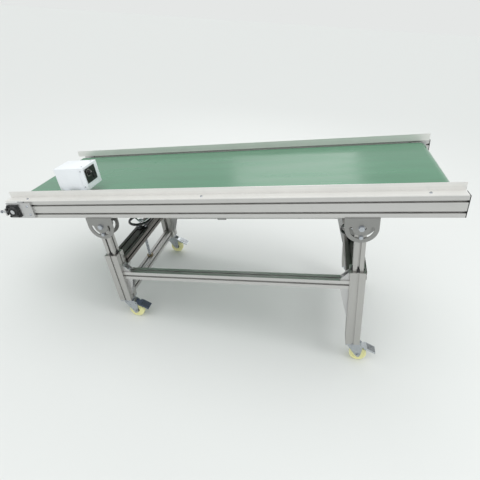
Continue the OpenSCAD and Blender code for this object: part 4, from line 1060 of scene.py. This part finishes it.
DRESS: dict[Finish, tuple[str, ...]] = {
    ANODISED_LENGTH: ("near_rail", "far_rail", "side_beams"),
    ANODISED_ACROSS: ("left_lift_crossbar", "right_lift_crossbar", "bed_cross_members"),
    ANODISED_HEIGHT: ("left_lower_legs", "right_lower_legs", "left_upper_legs", "right_upper_legs"),
    # Painted shade: the fixed crossbars take the darkened copy of the anodised finish
    PAINTED_SHADE_CROSSBAR: ("left_fixed_crossbar", "right_fixed_crossbar"),
    BRIGHT_SHEET: ("near_guard", "far_guard"),
    CAST_ALLOY: ("corner_brackets", "take_up_brackets", "idler_brackets"),
    TURNED_ALLOY: ("drive_drum", "idler_drum", "return_roller"),
    PRESSED_STEEL: ("pivot_brackets", "roller_brackets", "slider_plate"),
    ZINC: ("frame_bolts", "caster_plates", "left_clamp_bolts", "right_pivot_and_clamp_bolts",
           "left_pivot_bolts",
           "bed_screws", "take_up_bolts", "left_lead_screw", "right_lead_screw"),
    GALVANISED: tuple(f"{c}_caster_fork" for c in CORNERS),
    TREAD: tuple(f"{c}_caster_wheel" for c in CORNERS),
    PEDAL_PAINT: ("near_left_brake_pedal",),
    PEDAL_STEEL: ("far_left_brake_pedal", "near_right_brake_pedal", "far_right_brake_pedal"),
    BLACK_NYLON: ("slide_guides", "rail_end_caps", "speed_knob", "power_switch", "cable_gland"),
    PHENOLIC: ("left_handwheel", "right_handwheel"),
    CAST_IRON: ("bearing_housings", "screw_bearings"),
    BRONZE: ("left_screw_nut", "right_screw_nut"),
    BELT_PVC: ("belt",),
    BLUE_ENAMEL: ("gearbox", "motor"),
    POWDER_WHITE: ("control_box",),
    PANEL_BLACK: ("control_panel",),
}


def dress(nodes: dict[str, bpy.types.Object], bed: Bed) -> None:
    """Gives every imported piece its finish.

    Args:
        nodes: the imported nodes.
        bed: the bed frame.
    """
    for finish, names in DRESS.items():
        for name in names:
            for slot in nodes[name].material_slots:
                slot.material = finish.shader(bed)
            LOG.info("%s: %s", name, finish.name)


# ---- studio ---------------------------------------------------------------------------------


@dataclass
class Studio:
    """The camera, the floor and the light."""

    eye: tuple[float, float, float] = (404.6, -1527.4, 569.3)
    yaw: float = 16.77
    pitch: float = -32.21
    roll: float = -7.88
    lens: float = 27.43
    shift_xy: tuple[float, float] = (0.0152, 0.0202)
    world: str = "#e5e7e6"
    floor_m: float = 60.0
    lamps: list[tuple[tuple[float, float, float], float, float]] = field(default_factory=lambda: [
        ((-1.0, -2.4, 3.2), 2.0, 12.0), ((2.6, -0.8, 2.4), 1.2, 12.0), ((-0.2, 2.8, 2.4), 1.6, 9.0)])
    sky: float = 0.85

    def build(self, bed: Bed) -> None:
        """Makes the camera first, then the floor and the light."""
        self.camera(bed)
        self.floor()
        self.light()
        view = bpy.context.scene.view_settings
        view.view_transform = "Standard"

    def camera(self, bed: Bed) -> None:
        """Stands the camera where the section is seen from its near side, rolled a little."""
        yaw, pitch, roll = (math.radians(a) for a in (self.yaw, self.pitch, self.roll))
        ahead = Vector((-math.sin(yaw) * math.cos(pitch), math.cos(yaw) * math.cos(pitch), math.sin(pitch)))
        right = ahead.cross(Vector((0, 0, 1))).normalized()
        up = right.cross(ahead)
        right, up = right * math.cos(roll) + up * math.sin(roll), up * math.cos(roll) - right * math.sin(roll)
        turn = Matrix((right, up, -ahead)).transposed()
        lean = bed.matrix.to_3x3().normalized()
        data = bpy.data.cameras.new("studio_camera")
        data.lens = self.lens
        data.shift_x, data.shift_y = self.shift_xy
        data.clip_end = 200
        made = bpy.data.objects.new("studio_camera", data)
        made.matrix_world = Matrix.Translation(bed.matrix @ Vector(self.eye)) @ (lean @ turn).to_4x4()
        bpy.context.scene.collection.objects.link(made)
        bpy.context.scene.camera = made

    def floor(self) -> None:
        """Lays the pale floor."""
        half = self.floor_m / 2
        mesh = bpy.data.meshes.new("floor")
        mesh.from_pydata([(-half, -half, 0), (half, -half, 0), (half, half, 0), (-half, half, 0)], [],
                         [(0, 1, 2, 3)])
        mesh.materials.append(STUDIO_FLOOR.shader(Bed(Matrix.Identity(4), 0.0)))
        made = bpy.data.objects.new("studio_floor", mesh)
        bpy.context.scene.collection.objects.link(made)

    def light(self) -> None:
        """Hangs the soft lamps, and sets the even light of the room."""
        for k, (place, size, watts) in enumerate(self.lamps):
            data = bpy.data.lights.new(f"soft_lamp_{k}", "AREA")
            data.size = size
            data.energy = watts
            made = bpy.data.objects.new(f"soft_lamp_{k}", data)
            made.location = place
            made.rotation_euler = (Vector((0, 0, 0.5)) - Vector(place)).to_track_quat("-Z", "Y").to_euler()
            bpy.context.scene.collection.objects.link(made)
        overhead = bpy.data.lights.new("overhead_light", "SUN")
        overhead.energy = self.sky
        overhead.angle = math.radians(70)
        hung = bpy.data.objects.new("overhead_light", overhead)
        bpy.context.scene.collection.objects.link(hung)
        room = bpy.data.worlds.new("studio")
        room.use_nodes = True
        back = room.node_tree.nodes["Background"]
        back.inputs["Color"].default_value = linear(self.world)
        back.inputs["Strength"].default_value = 1.0
        bpy.context.scene.world = room


def main() -> None:
    """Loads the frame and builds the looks."""
    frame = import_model()
    bed = Bed.from_joints(frame["joints"])
    Studio().build(bed)
    dress(frame["nodes"], bed)
    LiftSpindle("left", -532.0, -291.6, -525.0, -353.4).build(bed)
    LiftSpindle("right", 532.0, -339.6, -680.0, -401.4).build(bed)
    for corner in CORNERS:
        side = -1 if corner.startswith("near") else 1
        x, foot = (-532.0, -530.0) if corner.endswith("left") else (532.0, -710.0)
        Caster(corner, x, side * 297.0, foot).build(bed)
    DriveEnd().build(bed)
    ControlBox().build(bed)


if __name__ == "__main__":
    logging.basicConfig(level=logging.INFO)
    main()
